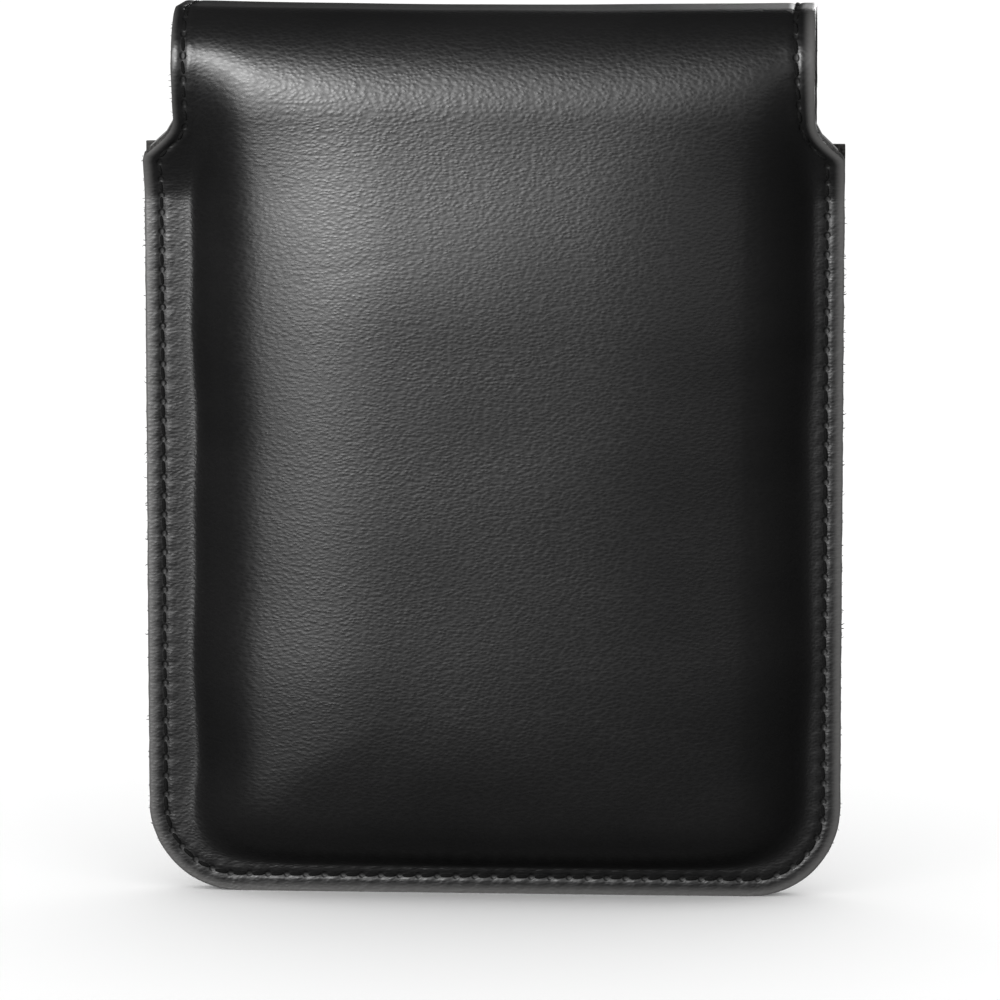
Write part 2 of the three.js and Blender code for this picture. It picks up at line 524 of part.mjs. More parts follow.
const cans = { oscillator_coil: [-14, 103], if_can_1: [-5, 103], if_can_2: [-14, 91.5], if_can_3: [-5, 91.5] };
for (const [name, [x, z]] of Object.entries(cans)) {
  const body = slab(roundedRect(x - 3.5, x + 3.5, z - 3.5, z + 3.5, 0.6), onBoard, 4.2, 0, 0, 2);
  piece(radio, name, body.subtract(rodY(x, z, 1.6, 2.6, 6, 10)), MATERIAL.can);
}
const transistors = [[4, 84.2], [11, 84.2], [18, 84.2], [25, 84.2], [32, 84.2], [32.5, 93]];
for (const [i, [x, z]] of transistors.entries()) {
  const profile = [[0, onBoard], [3.1, onBoard], [3.1, onBoard + 0.6], [2.7, onBoard + 0.8], [2.7, 2.4], [2.2, 2.9], [0, 2.9]];
  piece(radio, `transistor_${i + 1}`, turnedY(profile, x, z, 12), MATERIAL.can);
}
for (const [name, x] of [['driver_transformer', -29], ['output_transformer', 29]]) {
  const core = box(x - 6, x + 6, onBoard, 3, 65, 75);
  const winding = box(x - 3.8, x + 3.8, onBoard + 0.6, 4.2, 63.4, 76.6);
  piece(radio, name, core.add(winding), MATERIAL.steel);
}
const electrolytics = [[30, 36, 49], [-30, 36, 49], [22.6, 34.5, 42]];
for (const [i, [x, low, high]] of electrolytics.entries()) {
  piece(radio, `electrolytic_${i + 1}`, rodZ(x, onBoard + 3.1, 3, low, high, 14), MATERIAL.battery);
}
for (const [i, z] of [82, 86].entries()) {
  piece(radio, `resistor_${i + 1}`, rodX(onBoard + 1.2, z, 1.1, -34, -27, 8), MATERIAL.board);
}
piece(radio, 'detector_diode', rodX(onBoard + 1.2, 84, 1.1, -24, -17, 8), MATERIAL.ferrite);

// ---- Radio: aerial and earphone socket ----
const ROD = { y: 4, z: 114.2 };
piece(radio, 'ferrite_rod', rodX(ROD.y, ROD.z, 2.8, -12, 30, 14), MATERIAL.ferrite);
const coilOuter = rodX(ROD.y, ROD.z, 3.6, 4, 24, 16);
piece(radio, 'antenna_coil', coilOuter.subtract(rodX(ROD.y, ROD.z, 3.1, 0, 30, 16)), MATERIAL.copper);
const jack = box(-24, -16, -3, 3, 108, 119.2).add(rodZ(-20, 0, 2.8, 118, 121.3))
  .subtract(rodZ(-20, 0, 1.8, 110, 125, 12));
piece(radio, 'earphone_jack', jack, MATERIAL.darkPlastic);

// ---- Radio: leads ----
function lead(name, points, material) {
  const curve = new THREE.CatmullRomCurve3(points.map((p) => new THREE.Vector3(...p)));
  const section = new THREE.Shape().absarc(0, 0, 0.6, 0, 2 * Math.PI);
  piece(radio, name, new THREE.ExtrudeGeometry(section, { steps: 12, curveSegments: 3, extrudePath: curve }), material);
}
lead('battery_lead_1', [[28, 3, 20], [31, 3, 22], [34.5, 1, 27], [35.2, -2, 32], [34.6, -4.2, 38]], MATERIAL.copper);
lead('battery_lead_2', [[28, -4, 12], [31, -4.5, 15], [33.6, -7, 21], [34.5, -8, 28], [34, -6.8, 36]], MATERIAL.ferrite);

export default part;
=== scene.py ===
import json
import math

import bpy
import numpy as np
from mathutils import Matrix, Vector, noise

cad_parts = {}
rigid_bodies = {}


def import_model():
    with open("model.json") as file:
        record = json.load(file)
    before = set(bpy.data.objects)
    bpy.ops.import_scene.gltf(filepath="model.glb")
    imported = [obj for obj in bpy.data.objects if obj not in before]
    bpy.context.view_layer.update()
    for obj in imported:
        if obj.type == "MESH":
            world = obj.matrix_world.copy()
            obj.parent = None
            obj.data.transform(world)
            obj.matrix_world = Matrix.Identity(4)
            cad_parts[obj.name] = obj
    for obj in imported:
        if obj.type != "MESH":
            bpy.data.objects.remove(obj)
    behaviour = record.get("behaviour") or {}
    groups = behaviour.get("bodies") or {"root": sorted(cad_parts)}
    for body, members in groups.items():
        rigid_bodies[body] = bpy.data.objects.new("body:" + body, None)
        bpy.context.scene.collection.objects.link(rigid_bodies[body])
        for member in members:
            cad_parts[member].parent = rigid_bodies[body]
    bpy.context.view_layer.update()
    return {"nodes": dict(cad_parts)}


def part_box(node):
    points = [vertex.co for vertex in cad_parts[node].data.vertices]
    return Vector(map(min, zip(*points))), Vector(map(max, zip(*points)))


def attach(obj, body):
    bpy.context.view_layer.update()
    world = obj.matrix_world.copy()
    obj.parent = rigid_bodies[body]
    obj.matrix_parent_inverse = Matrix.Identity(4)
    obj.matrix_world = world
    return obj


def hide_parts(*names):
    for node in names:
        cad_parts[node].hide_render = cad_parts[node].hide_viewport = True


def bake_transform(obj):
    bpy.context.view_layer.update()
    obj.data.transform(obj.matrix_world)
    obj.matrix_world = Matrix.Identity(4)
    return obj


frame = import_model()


# ---- Back panel and strap ----
# One piece of smooth black cowhide 1.3 mm thick, wetted and pressed over the radio, then trimmed.
# Below the shoulders it is the whole back of the case. Above them it narrows to the strap, which
# folds over the radio's top. It is sewn to the front panel round the sides and the bottom.

MM = 0.001
LEATHER = 1.3 * MM
LINING = 0.5 * MM
GLUE = 0.15 * MM
STACK = LINING + GLUE + LEATHER
CORNER_RADIUS = 14.2 * MM
SEAM_INSET = 2.75 * MM
STRAP_INSET = {-1: 2.0 * MM, 1: 3.1 * MM}
STITCH = 3.0 * MM
FOLD = 8 * MM
BACK_FOLD = (124 * MM, 9 * MM)
BACK_LEAN = (91 * MM, 131 * MM, 2.4 * MM)
OPENING = (110 * MM, 136 * MM)
STRAP_SHIFT = 0.35 * MM
FOOT = {-1: 3.6 * MM, 1: 1.0 * MM}
STEEP_RUN = 7.65 * MM
STEEP_START = 3 * MM
STEEP_SHARPNESS = 2.6
STEEP_SHARE = 0.62
GENTLE_RUN = 35 * MM
CORNER_EASE = 36 * MM
CORNER_POWER = 6
BOTTOM_HASTE = 1.3
SOFT_START = 5 * MM
DOME_HALF = 47 * MM
TOP_SAG = 0.6 * MM
EDGE_STOPS = (0, 0.12, 0.35, 0.7, 1.1, 1.5, 1.9, 2.2, 2.5, 2.75, 3.0, 3.3, 3.7, 4.2, 4.9)
SHOULDER = (118 * MM, 124.6 * MM)

panel_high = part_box("case_back")[1]
top_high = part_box("flap_top")[1]
lining_low, lining_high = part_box("back_lining")
front_low, front_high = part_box("front_lining")
flap_low, flap_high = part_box("flap_front")
SEAM_Y = (lining_high.y + front_low.y) / 2
PANEL_HALF = panel_high.x
STRAP_HALF = top_high.x - 0.8 * MM
BACK_DEPTH = SEAM_Y - lining_low.y - LINING
TOP_DEPTH = BACK_DEPTH - 1.9 * MM
FRONT_DEPTH = front_high.y - SEAM_Y - LINING
FLAP_DEPTH = flap_high.y - STACK - SEAM_Y
HALF_GAP = 0.1 * MM
CREST = top_high.z - STACK
FOLD_Z = CREST - FOLD
BACK_ARC = math.pi / 2 * math.sqrt((BACK_FOLD[1] ** 2 + (CREST - BACK_FOLD[0]) ** 2) / 2)
FRONT_ARC = FOLD * math.pi / 2
TOP_FLAT = FLAP_DEPTH - FOLD + TOP_DEPTH - BACK_FOLD[1]
TOP_START = BACK_FOLD[0] + BACK_ARC
TOP_END = TOP_START + TOP_FLAT
MID_TOP = (TOP_START + TOP_END) / 2
FLAP_START = TOP_END + FRONT_ARC
FLAP_STOP = FLAP_START + FOLD_Z - flap_low.z


def ease(low, high, value):
    t = np.clip((value - low) / (high - low), 0, 1)
    return t * t * (3 - 2 * t)


def rough(x, v, size, seed):
    """Slow uneven swelling between -1 and 1, as wide as size."""
    points = zip(np.ravel(x) / size, np.ravel(v) / size)
    values = [noise.noise(Vector((a, b, seed))) for a, b in points]
    return np.reshape(values, np.shape(x))


def panel_half(v):
    """Half the width of a panel at height v, rounded at its bottom corners."""
    below = np.clip(CORNER_RADIUS - v, 0, CORNER_RADIUS)
    return PANEL_HALF - CORNER_RADIUS + np.sqrt(np.maximum(CORNER_RADIUS**2 - below**2, 0))


def back_half(v):
    """The same for the back sheet, which steps in at the shoulders to the strap."""
    t = np.clip((v - SHOULDER[0]) / (SHOULDER[1] - SHOULDER[0]), 0, 1) ** 0.7
    return panel_half(v) - ease(0, 1, t) * (PANEL_HALF - STRAP_HALF)


def inside_seam(x, v):
    """Distance in from the seam, rounded at the bottom corners. The leather rises faster from the bottom."""
    side = np.clip(CORNER_EASE - (PANEL_HALF - SEAM_INSET - np.abs(x)), 0, None)
    bottom = np.clip(CORNER_EASE - (v - SEAM_INSET) * BOTTOM_HASTE, 0, None)
    return CORNER_EASE - (side**CORNER_POWER + bottom**CORNER_POWER) ** (1 / CORNER_POWER)


def panel_rise(x, v):
    """How far the leather has risen from the seam, 0, to the radio's face, 1: a flat foot, a steep turn
    and a long gentle crown. The foot is wide only up the left side."""
    foot = FOOT[1] + (FOOT[-1] - FOOT[1]) * ease(10 * MM, 34 * MM, -x) * ease(4 * MM, 22 * MM, v)
    foot = foot + 0.25 * MM * (np.sin(v / (9 * MM)) + 0.6 * np.sin(v / (4.1 * MM) + 2))
    inside = np.maximum(inside_seam(x, v) - foot, 0)
    climb = (np.hypot(inside, STEEP_START) - STEEP_START) / STEEP_RUN
    steep = 1 - np.exp(-STEEP_SHARPNESS * climb**2)
    soft_start = np.hypot(inside, SOFT_START) - SOFT_START
    gentle = 1 - (1 - np.clip(soft_start / GENTLE_RUN, 0, 1)) ** 3
    return STEEP_SHARE * steep + (1 - STEEP_SHARE) * gentle


def back_skin(x, v):
    """The lining's inner face. v is the height up to the fold, and the length along the sheet after it."""
    x, v = np.broadcast_arrays(np.asarray(x, float), np.asarray(v, float))
    low, run = BACK_FOLD
    opening = ease(OPENING[0], OPENING[1], v)
    rise = panel_rise(x, v) * (1 - opening) + opening
    dome = BACK_LEAN[2] * np.clip(1 - (x / DOME_HALF) ** 2, 0, 1)
    dome = dome * (1 - ease(BACK_LEAN[0], BACK_LEAN[1], v)) * ease(0, 40 * MM, v)
    turn = np.clip(v - low, 0, BACK_ARC) / BACK_ARC * math.pi / 2
    depth = TOP_DEPTH + dome - run * (1 - np.cos(turn))
    y = np.where(depth > HALF_GAP, -HALF_GAP - (depth - HALF_GAP) * rise, -depth)
    z = np.where(v > low, low + (CREST - low) * np.sin(turn), v)
    y = np.where(v > TOP_START, y + np.clip(v - TOP_START, 0, TOP_FLAT), y)
    turn = np.clip(v - TOP_END, 0, FRONT_ARC) / FOLD
    y = np.where(v > TOP_END, FLAP_DEPTH - FOLD * (1 - np.sin(turn)), y)
    z = np.where(v > TOP_END, FOLD_Z + FOLD * np.cos(turn), z)
    z = np.where(v > FLAP_START, FOLD_Z - (v - FLAP_START), z)
    x = x + STRAP_SHIFT * ease(SHOULDER[0], SHOULDER[1], v)
    return np.stack([x, y + SEAM_Y, z], -1)


def off_skin(skin, x, v, lift, outward=1):
    """Points lifted off a sheet's inner face, and the directions that they are lifted in."""
    step = 0.05 * MM
    across = skin(x + step, v) - skin(x - step, v)
    along = skin(x, v + step) - skin(x, v - step)
    normal = np.cross(across, along) * outward
    normal /= np.linalg.norm(normal, axis=-1, keepdims=True)
    return skin(x, v) + normal * np.asarray(lift)[..., None], normal


def seam_inset(v, side):
    """How far the seam runs from the edge of the back sheet: closer on the strap's left than on its right."""
    strap = np.where(side < 0, STRAP_INSET[-1], STRAP_INSET[1])
    return SEAM_INSET + (strap - SEAM_INSET) * ease(116 * MM, 126 * MM, v)


def panel_seam(x, v, half=back_half):
    """Distance from the seam line, positive towards the edge, and length along it from the bottom middle."""
    ax = np.abs(x)
    straight = PANEL_HALF - CORNER_RADIUS
    seam_radius = CORNER_RADIUS - SEAM_INSET
    turn = np.arctan2(np.maximum(ax - straight, 0), np.maximum(CORNER_RADIUS - v, 1e-9))
    distance = np.hypot(ax - straight, CORNER_RADIUS - v) - seam_radius
    along = straight + seam_radius * turn
    low = (v < CORNER_RADIUS) & (ax <= straight)
    distance = np.where(low, SEAM_INSET - v, distance)
    along = np.where(low, ax, along)
    high = v >= CORNER_RADIUS
    distance = np.where(high, ax - (half(v) - seam_inset(v, np.sign(x))), distance)
    along = np.where(high, straight + seam_radius * math.pi / 2 + v - CORNER_RADIUS, along)
    return distance, along


def sewn(distance, along):
    """How the seam shapes the leather: a groove that the thread pulls in, deepest at the holes, and puffs."""
    d = distance / MM
    wave = np.cos(2 * math.pi * along / STITCH)
    groove = np.exp(-((d / 0.5) ** 2)) * (0.2 + 0.04 * wave)
    puff = np.exp(-(((d - 1.0) / 0.6) ** 2)) * (0.03 - 0.03 * wave)
    inner = np.exp(-(((d + 1.0) / 0.6) ** 2)) * (0.03 - 0.04 * wave)
    return (puff + inner - groove) * MM


def spaced(stops):
    """Positions from a list of (from, to, spacing) in millimetres."""
    out = []
    for low, high, gap in stops:
        count = max(1, round((high - low) / gap))
        out += [low + (high - low) * i / count for i in range(count)]
    return out


def from_edge(half, reach, centre_gap):
    """Positions across a sheet in millimetres: close together near both edges, centre_gap apart between."""
    near = list(EDGE_STOPS) + spaced([(EDGE_STOPS[-1] + 0.7, reach, 0.8)])
    left = [-half + c for c in near]
    middle = spaced([(-half + reach, half - reach, centre_gap)])
    return left + middle + [-m for m in reversed(left)]


def sheet_mesh(name, columns, rows, places, under, uv, fields):
    """A closed sheet: places are its outer points and under its inner ones, as rows by columns."""
    tall, wide = len(rows), len(columns)
    points = np.concatenate([places.reshape(-1, 3), under.reshape(-1, 3)])
    row, column = np.mgrid[0 : tall - 1, 0 : wide - 1]
    a = (row * wide + column).ravel()
    outer = np.stack([a, a + 1, a + 1 + wide, a + wide], 1)
    inner = outer[:, ::-1] + tall * wide
    loop = (
        [c for c in range(wide)]
        + [r * wide + wide - 1 for r in range(1, tall)]
        + [(tall - 1) * wide + c for c in range(wide - 2, -1, -1)]
        + [r * wide for r in range(tall - 2, 0, -1)]
    )
    rim = [(b, a, a + tall * wide, b + tall * wide) for a, b in zip(loop, loop[1:] + loop[:1])]
    mesh = bpy.data.meshes.new(name)
    mesh.from_pydata(points.tolist(), [], outer.tolist() + inner.tolist() + rim)
    layer = mesh.uv_layers.new(name="grain")
    corner_vertex = np.zeros(len(mesh.loops), np.int32)
    mesh.loops.foreach_get("vertex_index", corner_vertex)
    flat = np.concatenate([uv.reshape(-1, 2)] * 2)
    layer.data.foreach_set("uv", flat[corner_vertex].astype(np.float32).ravel())
    for field, values in fields.items():
        attribute = mesh.attributes.new(field, "FLOAT", "POINT")
        attribute.data.foreach_set("value", np.concatenate([values.ravel()] * 2).astype(np.float32))
    cut = mesh.attributes.new("cut_edge", "FLOAT", "FACE")
    marks = [0.0] * len(outer) + [1.0] * (len(inner) + len(rim))
    cut.data.foreach_set("value", marks)
    piece = bpy.data.objects.new(name, mesh)
    bpy.context.collection.objects.link(piece)
    if signed_volume(mesh) < 0:
        mesh.flip_normals()
    return piece


def signed_volume(mesh):
    mesh.calc_loop_triangles()
    co = np.array([v.co for v in mesh.vertices])
    tri = np.array([t.vertices for t in mesh.loop_triangles])
    return float(np.einsum("ij,ij->i", co[tri[:, 0]], np.cross(co[tri[:, 1]], co[tri[:, 2]])).sum())


def pick(*objects):
    bpy.ops.object.select_all(action="DESELECT")
    for one in objects:
        one.select_set(True)
    bpy.context.view_layer.objects.active = objects[0]


def smooth(piece, angle=35):
    pick(piece)
    bpy.ops.object.shade_smooth_by_angle(angle=math.radians(angle))


def link(tree, out, into):
    tree.links.new(out, into)


def node(tree, kind, **values):
    """A shader node with settings, and with its sockets' values where a name is a socket's."""
    made = tree.nodes.new(kind)
    for name, value in values.items():
        if hasattr(made, name):
            setattr(made, name, value)
        else:
            made.inputs[name.replace("_", " ")].default_value = value
    return made


def finish(name, colour, roughness, metallic=0.0, specular=0.5):
    material = bpy.data.materials.new(name)
    material.use_nodes = True
    tree = material.node_tree
    shader = tree.nodes["Principled BSDF"]
    shader.inputs["Base Color"].default_value = (*colour, 1)
    shader.inputs["Roughness"].default_value = roughness
    shader.inputs["Metallic"].default_value = metallic
    shader.inputs["Specular IOR Level"].default_value = specular
    return material, tree, shader


def maths(tree, operation, a, b=None, c=None, clamp=False):
    """A Math node; each input is a number or another node's output."""
    made = tree.nodes.new("ShaderNodeMath")
    made.operation = operation
    made.use_clamp = clamp
    for i, value in enumerate(v for v in (a, b, c) if v is not None):
        if isinstance(value, (int, float)):
            made.inputs[i].default_value = value
        else:
            link(tree, value, made.inputs[i])
    return made.outputs[0]


def between(tree, value, low, high, out_low, out_high):
    made = node(tree, "ShaderNodeMapRange", interpolation_type="SMOOTHSTEP")
    link(tree, value, made.inputs["Value"])
    for name, number in zip(("From Min", "From Max", "To Min", "To Max"), (low, high, out_low, out_high)):
        made.inputs[name].default_value = number
    return made.outputs["Result"]


def mixed(tree, share, first, second):
    """Colour first where share is 0, second where it is 1."""
    made = node(tree, "ShaderNodeMix", data_type="RGBA")
    link(tree, share, made.inputs["Factor"])
    for socket, colour in ((made.inputs[6], first), (made.inputs[7], second)):
        if isinstance(colour, tuple):
            socket.default_value = (*colour, 1)
        else:
            link(tree, colour, socket)
    return made.outputs[2]


def texture(tree, kind, where, **values):
    """A texture node, read at a UV or an object place."""
    made = node(tree, f"ShaderNodeTex{kind}", **values)
    link(tree, where, made.inputs["Vector"])
    return made


def relief(tree, shader, height, strength, distance):
    """The fine relief that a height gives a surface."""
    bump = node(tree, "ShaderNodeBump", Strength=strength, Distance=distance)
    link(tree, height, bump.inputs["Height"])
    link(tree, bump.outputs["Normal"], shader.inputs["Normal"])


def mix_number(tree, share, first, second):
    made = node(tree, "ShaderNodeMix", data_type="FLOAT")
    for socket, value in ((made.inputs[0], share), (made.inputs[2], first), (made.inputs[3], second)):
        if isinstance(value, (int, float)):
            socket.default_value = value
        else:
            link(tree, value, socket)
    return made.outputs[0]


def leather_finish(name, margin_lightening):
    """Black aniline leather: a fine pebble grain, pores, dull creases, a margin coloured lighter grey beyond
    the seam, painted shade in the seam's groove and awl holes, and a raw brown-black cut edge.
    """
    material, tree, shader = finish(name, (0.011, 0.011, 0.0115), 0.45)
    shader.inputs["Specular IOR Level"].default_value = 0.42
    place = node(tree, "ShaderNodeUVMap", uv_map="grain")
    stretch = node(tree, "ShaderNodeMapping")
    stretch.inputs["Scale"].default_value = (0.55, 1.0, 1.0)
    link(tree, place.outputs["UV"], stretch.inputs["Vector"])
    where = stretch.outputs["Vector"]
    wander = texture(tree, "Noise", where, Scale=420.0, Detail=2.0)
    shifted = node(tree, "ShaderNodeVectorMath", operation="MULTIPLY_ADD")
    link(tree, wander.outputs["Color"], shifted.inputs[0])
    shifted.inputs[1].default_value = (0.0006, 0.0006, 0.0006)
    link(tree, where, shifted.inputs[2])
    pebble = texture(tree, "Voronoi", shifted.outputs[0], feature="SMOOTH_F1", Scale=2300.0, Smoothness=0.5)
    folds = texture(tree, "Noise", where, Scale=1700.0, Detail=2.0, Roughness=0.5, Distortion=0.2)
    pores = texture(tree, "Noise", where, Scale=3600.0, Detail=2.0)
    cloud = texture(tree, "Noise", where, Scale=55.0, Detail=3.0)
    seam = node(tree, "ShaderNodeAttribute", attribute_name="seam_distance").outputs["Fac"]
    along = node(tree, "ShaderNodeAttribute", attribute_name="stitch_count").outputs["Fac"]
    cut = node(tree, "ShaderNodeAttribute", attribute_name="cut_edge").outputs["Fac"]

    near_seam = between(tree, maths(tree, "ABSOLUTE", seam), 0.2, 0.55, 1.0, 0.0)
    phase = maths(tree, "ABSOLUTE", maths(tree, "SUBTRACT", maths(tree, "FRACT", along), 0.5))
    hole_far = maths(tree, "MULTIPLY", maths(tree, "SUBTRACT", 0.5, phase), 3.0)
    hole_far = maths(tree, "ADD", maths(tree, "POWER", hole_far, 2.0), maths(tree, "POWER", seam, 2.0))
    hole = between(tree, maths(tree, "SQRT", hole_far), 0.25, 0.62, 1.0, 0.0)
    pucker_wave = maths(tree, "COSINE", maths(tree, "MULTIPLY", along, 2 * math.pi))
    beside_seam = between(tree, maths(tree, "ABSOLUTE", seam), 0.5, 2.3, 1.0, 0.0)
    pucker = maths(tree, "MULTIPLY", pucker_wave, beside_seam)

    grain = maths(tree, "MULTIPLY", pebble.outputs["Distance"], -0.55)
    grain = maths(tree, "MULTIPLY_ADD", folds.outputs["Fac"], 0.35, grain)
    grain = maths(tree, "MULTIPLY_ADD", pores.outputs["Fac"], 0.1, grain)
    patch = between(tree, cloud.outputs["Fac"], 0.3, 0.7, 0.75, 1.1)
    grain = maths(tree, "MULTIPLY", grain, patch)
    fibre = node(tree, "ShaderNodeTexNoise", Scale=2600.0, Detail=4.0)
    object_place = node(tree, "ShaderNodeTexCoord").outputs["Object"]
    link(tree, object_place, fibre.inputs["Vector"])
    height = mix_number(tree, cut, grain, maths(tree, "MULTIPLY", fibre.outputs["Fac"], 1.4))
    height = maths(tree, "MULTIPLY_ADD", pucker, -0.15, height)
    height = maths(tree, "MULTIPLY_ADD", hole, -1.6, height)
    relief(tree, shader, height, 0.55, 0.00013)

    dark = mixed(tree, between(tree, cloud.outputs["Fac"], 0.3, 0.7, 0.0, 1.0),
                 (0.003, 0.003, 0.0031), (0.0046, 0.0045, 0.0046))
    # Beyond the seam, from 0.9 mm past it out to the cut edge, the leather is coloured lighter grey.
    lighter_margin = mixed(tree, between(tree, seam, 0.9, 2.5, 0.0, margin_lightening), dark, (0.06, 0.059, 0.058))
    # Painted shade: the seam's groove and the awl holes are coloured darker than the leather round them.
    groove_shade = mixed(tree, maths(tree, "MAXIMUM", hole, maths(tree, "MULTIPLY", near_seam, 0.8)), lighter_margin,
                 (0.0015, 0.0015, 0.0015))
    raw = mixed(tree, between(tree, fibre.outputs["Fac"], 0.35, 0.7, 0.0, 1.0),
                (0.007, 0.0068, 0.0066), (0.038, 0.036, 0.034))
    link(tree, mixed(tree, cut, groove_shade, raw), shader.inputs["Base Color"])
    gloss = between(tree, grain, -0.35, 0.35, 0.44, 0.32)
    gloss = mix_number(tree, cut, gloss, 0.85)
    gloss = maths(tree, "MULTIPLY_ADD", near_seam, 0.18, gloss)
    link(tree, gloss, shader.inputs["Roughness"])
    return material


case_leather = leather_finish("case_leather", 0.8)


def unevenness(x, v):
    """What hand pressing leaves on the panel: slow swells, and one soft crease at the upper left."""
    swell = rough(x, v, 34 * MM, 3.1) * 0.22 + rough(x, v, 15 * MM, 8.7) * 0.07
    crease_v = 101 * MM + (x + 20 * MM) * 0.22
    crease = np.exp(-(((v - crease_v) / (1.1 * MM)) ** 2)) * np.exp(-(((x + 20 * MM) / (7 * MM)) ** 2))
    return (swell - 0.03 * crease) * MM


def rounded_edge(gap):
    """How far the cut edge's corner is rubbed down, gap away from the edge."""
    return -0.22 * MM * np.exp(-gap / (0.22 * MM))


def leather_piece(name, skin, rows, half, seam_of, outward=1, bumps=unevenness):
    columns = np.array(from_edge(PANEL_HALF / MM, 15, 0.8)) / (PANEL_HALF / MM)
    v = np.array(rows)[:, None] * np.ones_like(columns)
    fray = rough(v, v * 0 + columns[None, :].round(0), 1.7 * MM, 5.5) * 0.07 * MM
    frayed_out = np.sign(columns) * (fray - 0.06 * MM)
    x = columns[None, :] * half(v) + np.where(np.abs(columns) > 0.999, frayed_out, 0)
    distance, along = seam_of(x, v)
    edge_gap = half(v) - np.abs(columns[None, :]) * half(v)
    lift = STACK + sewn(distance, along) + bumps(x, v) + rounded_edge(edge_gap)
    places, _ = off_skin(skin, x, v, lift, outward)
    under, _ = off_skin(skin, x, v, np.full_like(x, STACK - LEATHER), outward)
    uv = np.stack([x, v], -1)
    fields = {"seam_distance": distance / MM, "stitch_count": along / STITCH}
    piece = sheet_mesh(name, columns, rows, places, under, uv, fields)
    piece.data.materials.append(case_leather)
    smooth(piece, 50)
    return piece


bottom_rows = [r * MM for r in EDGE_STOPS]
back_rows = bottom_rows + [r * MM for r in spaced([(5.7, BACK_FOLD[0] / MM, 0.8)])]
back_rows += list(np.linspace(BACK_FOLD[0], MID_TOP, 34))


def back_bumps(x, v):
    sag = ease(BACK_FOLD[0], MID_TOP, v) * (1 - (np.abs(x) / STRAP_HALF) ** 2) * TOP_SAG
    return unevenness(x, v) - sag


leather_back = leather_piece("leather_back", back_skin, back_rows, back_half, panel_seam, bumps=back_bumps)
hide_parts("case_back", "flap_top")
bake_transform(leather_back)


# ---- Flap ----
# The other end of the same sheet: from the middle of the top it runs forwards, folds down over the
# front and ends in a rounded tongue, sewn round its edge to hold the lining.

FLAP_CORNER = 12 * MM


def flap_half(v):
    left = np.clip(FLAP_CORNER - (FLAP_STOP - v), 0, FLAP_CORNER)
    return STRAP_HALF - FLAP_CORNER + np.sqrt(np.maximum(FLAP_CORNER**2 - left**2, 0))


def flap_seam(x, v):
    """As panel_seam: length runs on from the strap's, down the side, round the corner and along the end."""
    ax = np.abs(x)
    inset = seam_inset(v, np.sign(x))
    straight = STRAP_HALF - FLAP_CORNER
    start = PANEL_HALF - CORNER_RADIUS + (CORNER_RADIUS - SEAM_INSET) * math.pi / 2 - CORNER_RADIUS
    bend = FLAP_STOP - FLAP_CORNER
    distance = ax - (STRAP_HALF - inset)
    along = start + v
    turn = np.arctan2(np.maximum(v - bend, 0), np.maximum(ax - straight, 1e-9))
    corner = (v > bend) & (ax > straight)
    distance = np.where(corner, np.hypot(ax - straight, v - bend) - (FLAP_CORNER - inset), distance)
    along = np.where(corner, start + bend + (FLAP_CORNER - SEAM_INSET) * turn, along)
    end = (v > bend) & (ax <= straight)
    distance = np.where(end, v - (FLAP_STOP - inset), distance)
    end_along = start + bend + (FLAP_CORNER - SEAM_INSET) * math.pi / 2 + straight - ax
    return distance, np.where(end, end_along, along)


def flap_bumps(x, v):
    sag = (1 - ease(MID_TOP, FLAP_START, v)) * (1 - (np.abs(x) / STRAP_HALF) ** 2) * TOP_SAG
    return unevenness(x, v) - sag


flap_rows = list(np.linspace(MID_TOP, FLAP_START, 26))
flap_rows += [FLAP_START + r * MM for r in spaced([(0.8, (FLAP_STOP - FLAP_START) / MM - 5.7, 0.8)])]
flap_rows += [FLAP_STOP - r for r in reversed(bottom_rows)]
leather_flap = leather_piece("leather_flap", back_skin, flap_rows, flap_half, flap_seam, bumps=flap_bumps)
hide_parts("flap_front")
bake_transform(leather_flap)


# ---- Front panel ----
# The second piece of the same leather, pressed over the radio's face. Its top edge is the mouth,
# cut in a shallow curve so that the radio can be gripped.

MOUTH_DIP = 7.5 * MM
DIP_HALF = 46 * MM
DIP_START = 88 * MM
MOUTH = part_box("case_front")[1].z


def front_skin(x, v):
    """As back_skin; the rows close up towards the mouth so that the top one follows its curve."""
    x, v = np.broadcast_arrays(np.asarray(x, float), np.asarray(v, float))
    dip = MOUTH_DIP * np.maximum(1 - (x / DIP_HALF) ** 2, 0)
    squeezed = DIP_START + (v - DIP_START) * (MOUTH - dip - DIP_START) / (MOUTH - DIP_START)
    z = np.where(v < DIP_START, v, squeezed)
    y = HALF_GAP + (FRONT_DEPTH - HALF_GAP) * panel_rise(x, z)
    return np.stack([x, y + SEAM_Y, z], -1)


def front_seam(x, v):
    return panel_seam(x, np.minimum(v, 110 * MM + 0 * v), panel_half)[0], panel_seam(x, v, panel_half)[1]


front_rows = bottom_rows + [r * MM for r in spaced([(5.7, MOUTH / MM - 1.6, 0.8)])]
front_rows += [MOUTH - r * MM for r in (1.4, 0.9, 0.5, 0.2, 0)]
leather_front = leather_piece("leather_front", front_skin, front_rows, panel_half, front_seam, outward=-1)
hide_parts("case_front")
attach(leather_front, "case")


# ---- Edge fibres ----
# Loose fibres of the cut edge, where the knife has left them standing out from the back sheet.

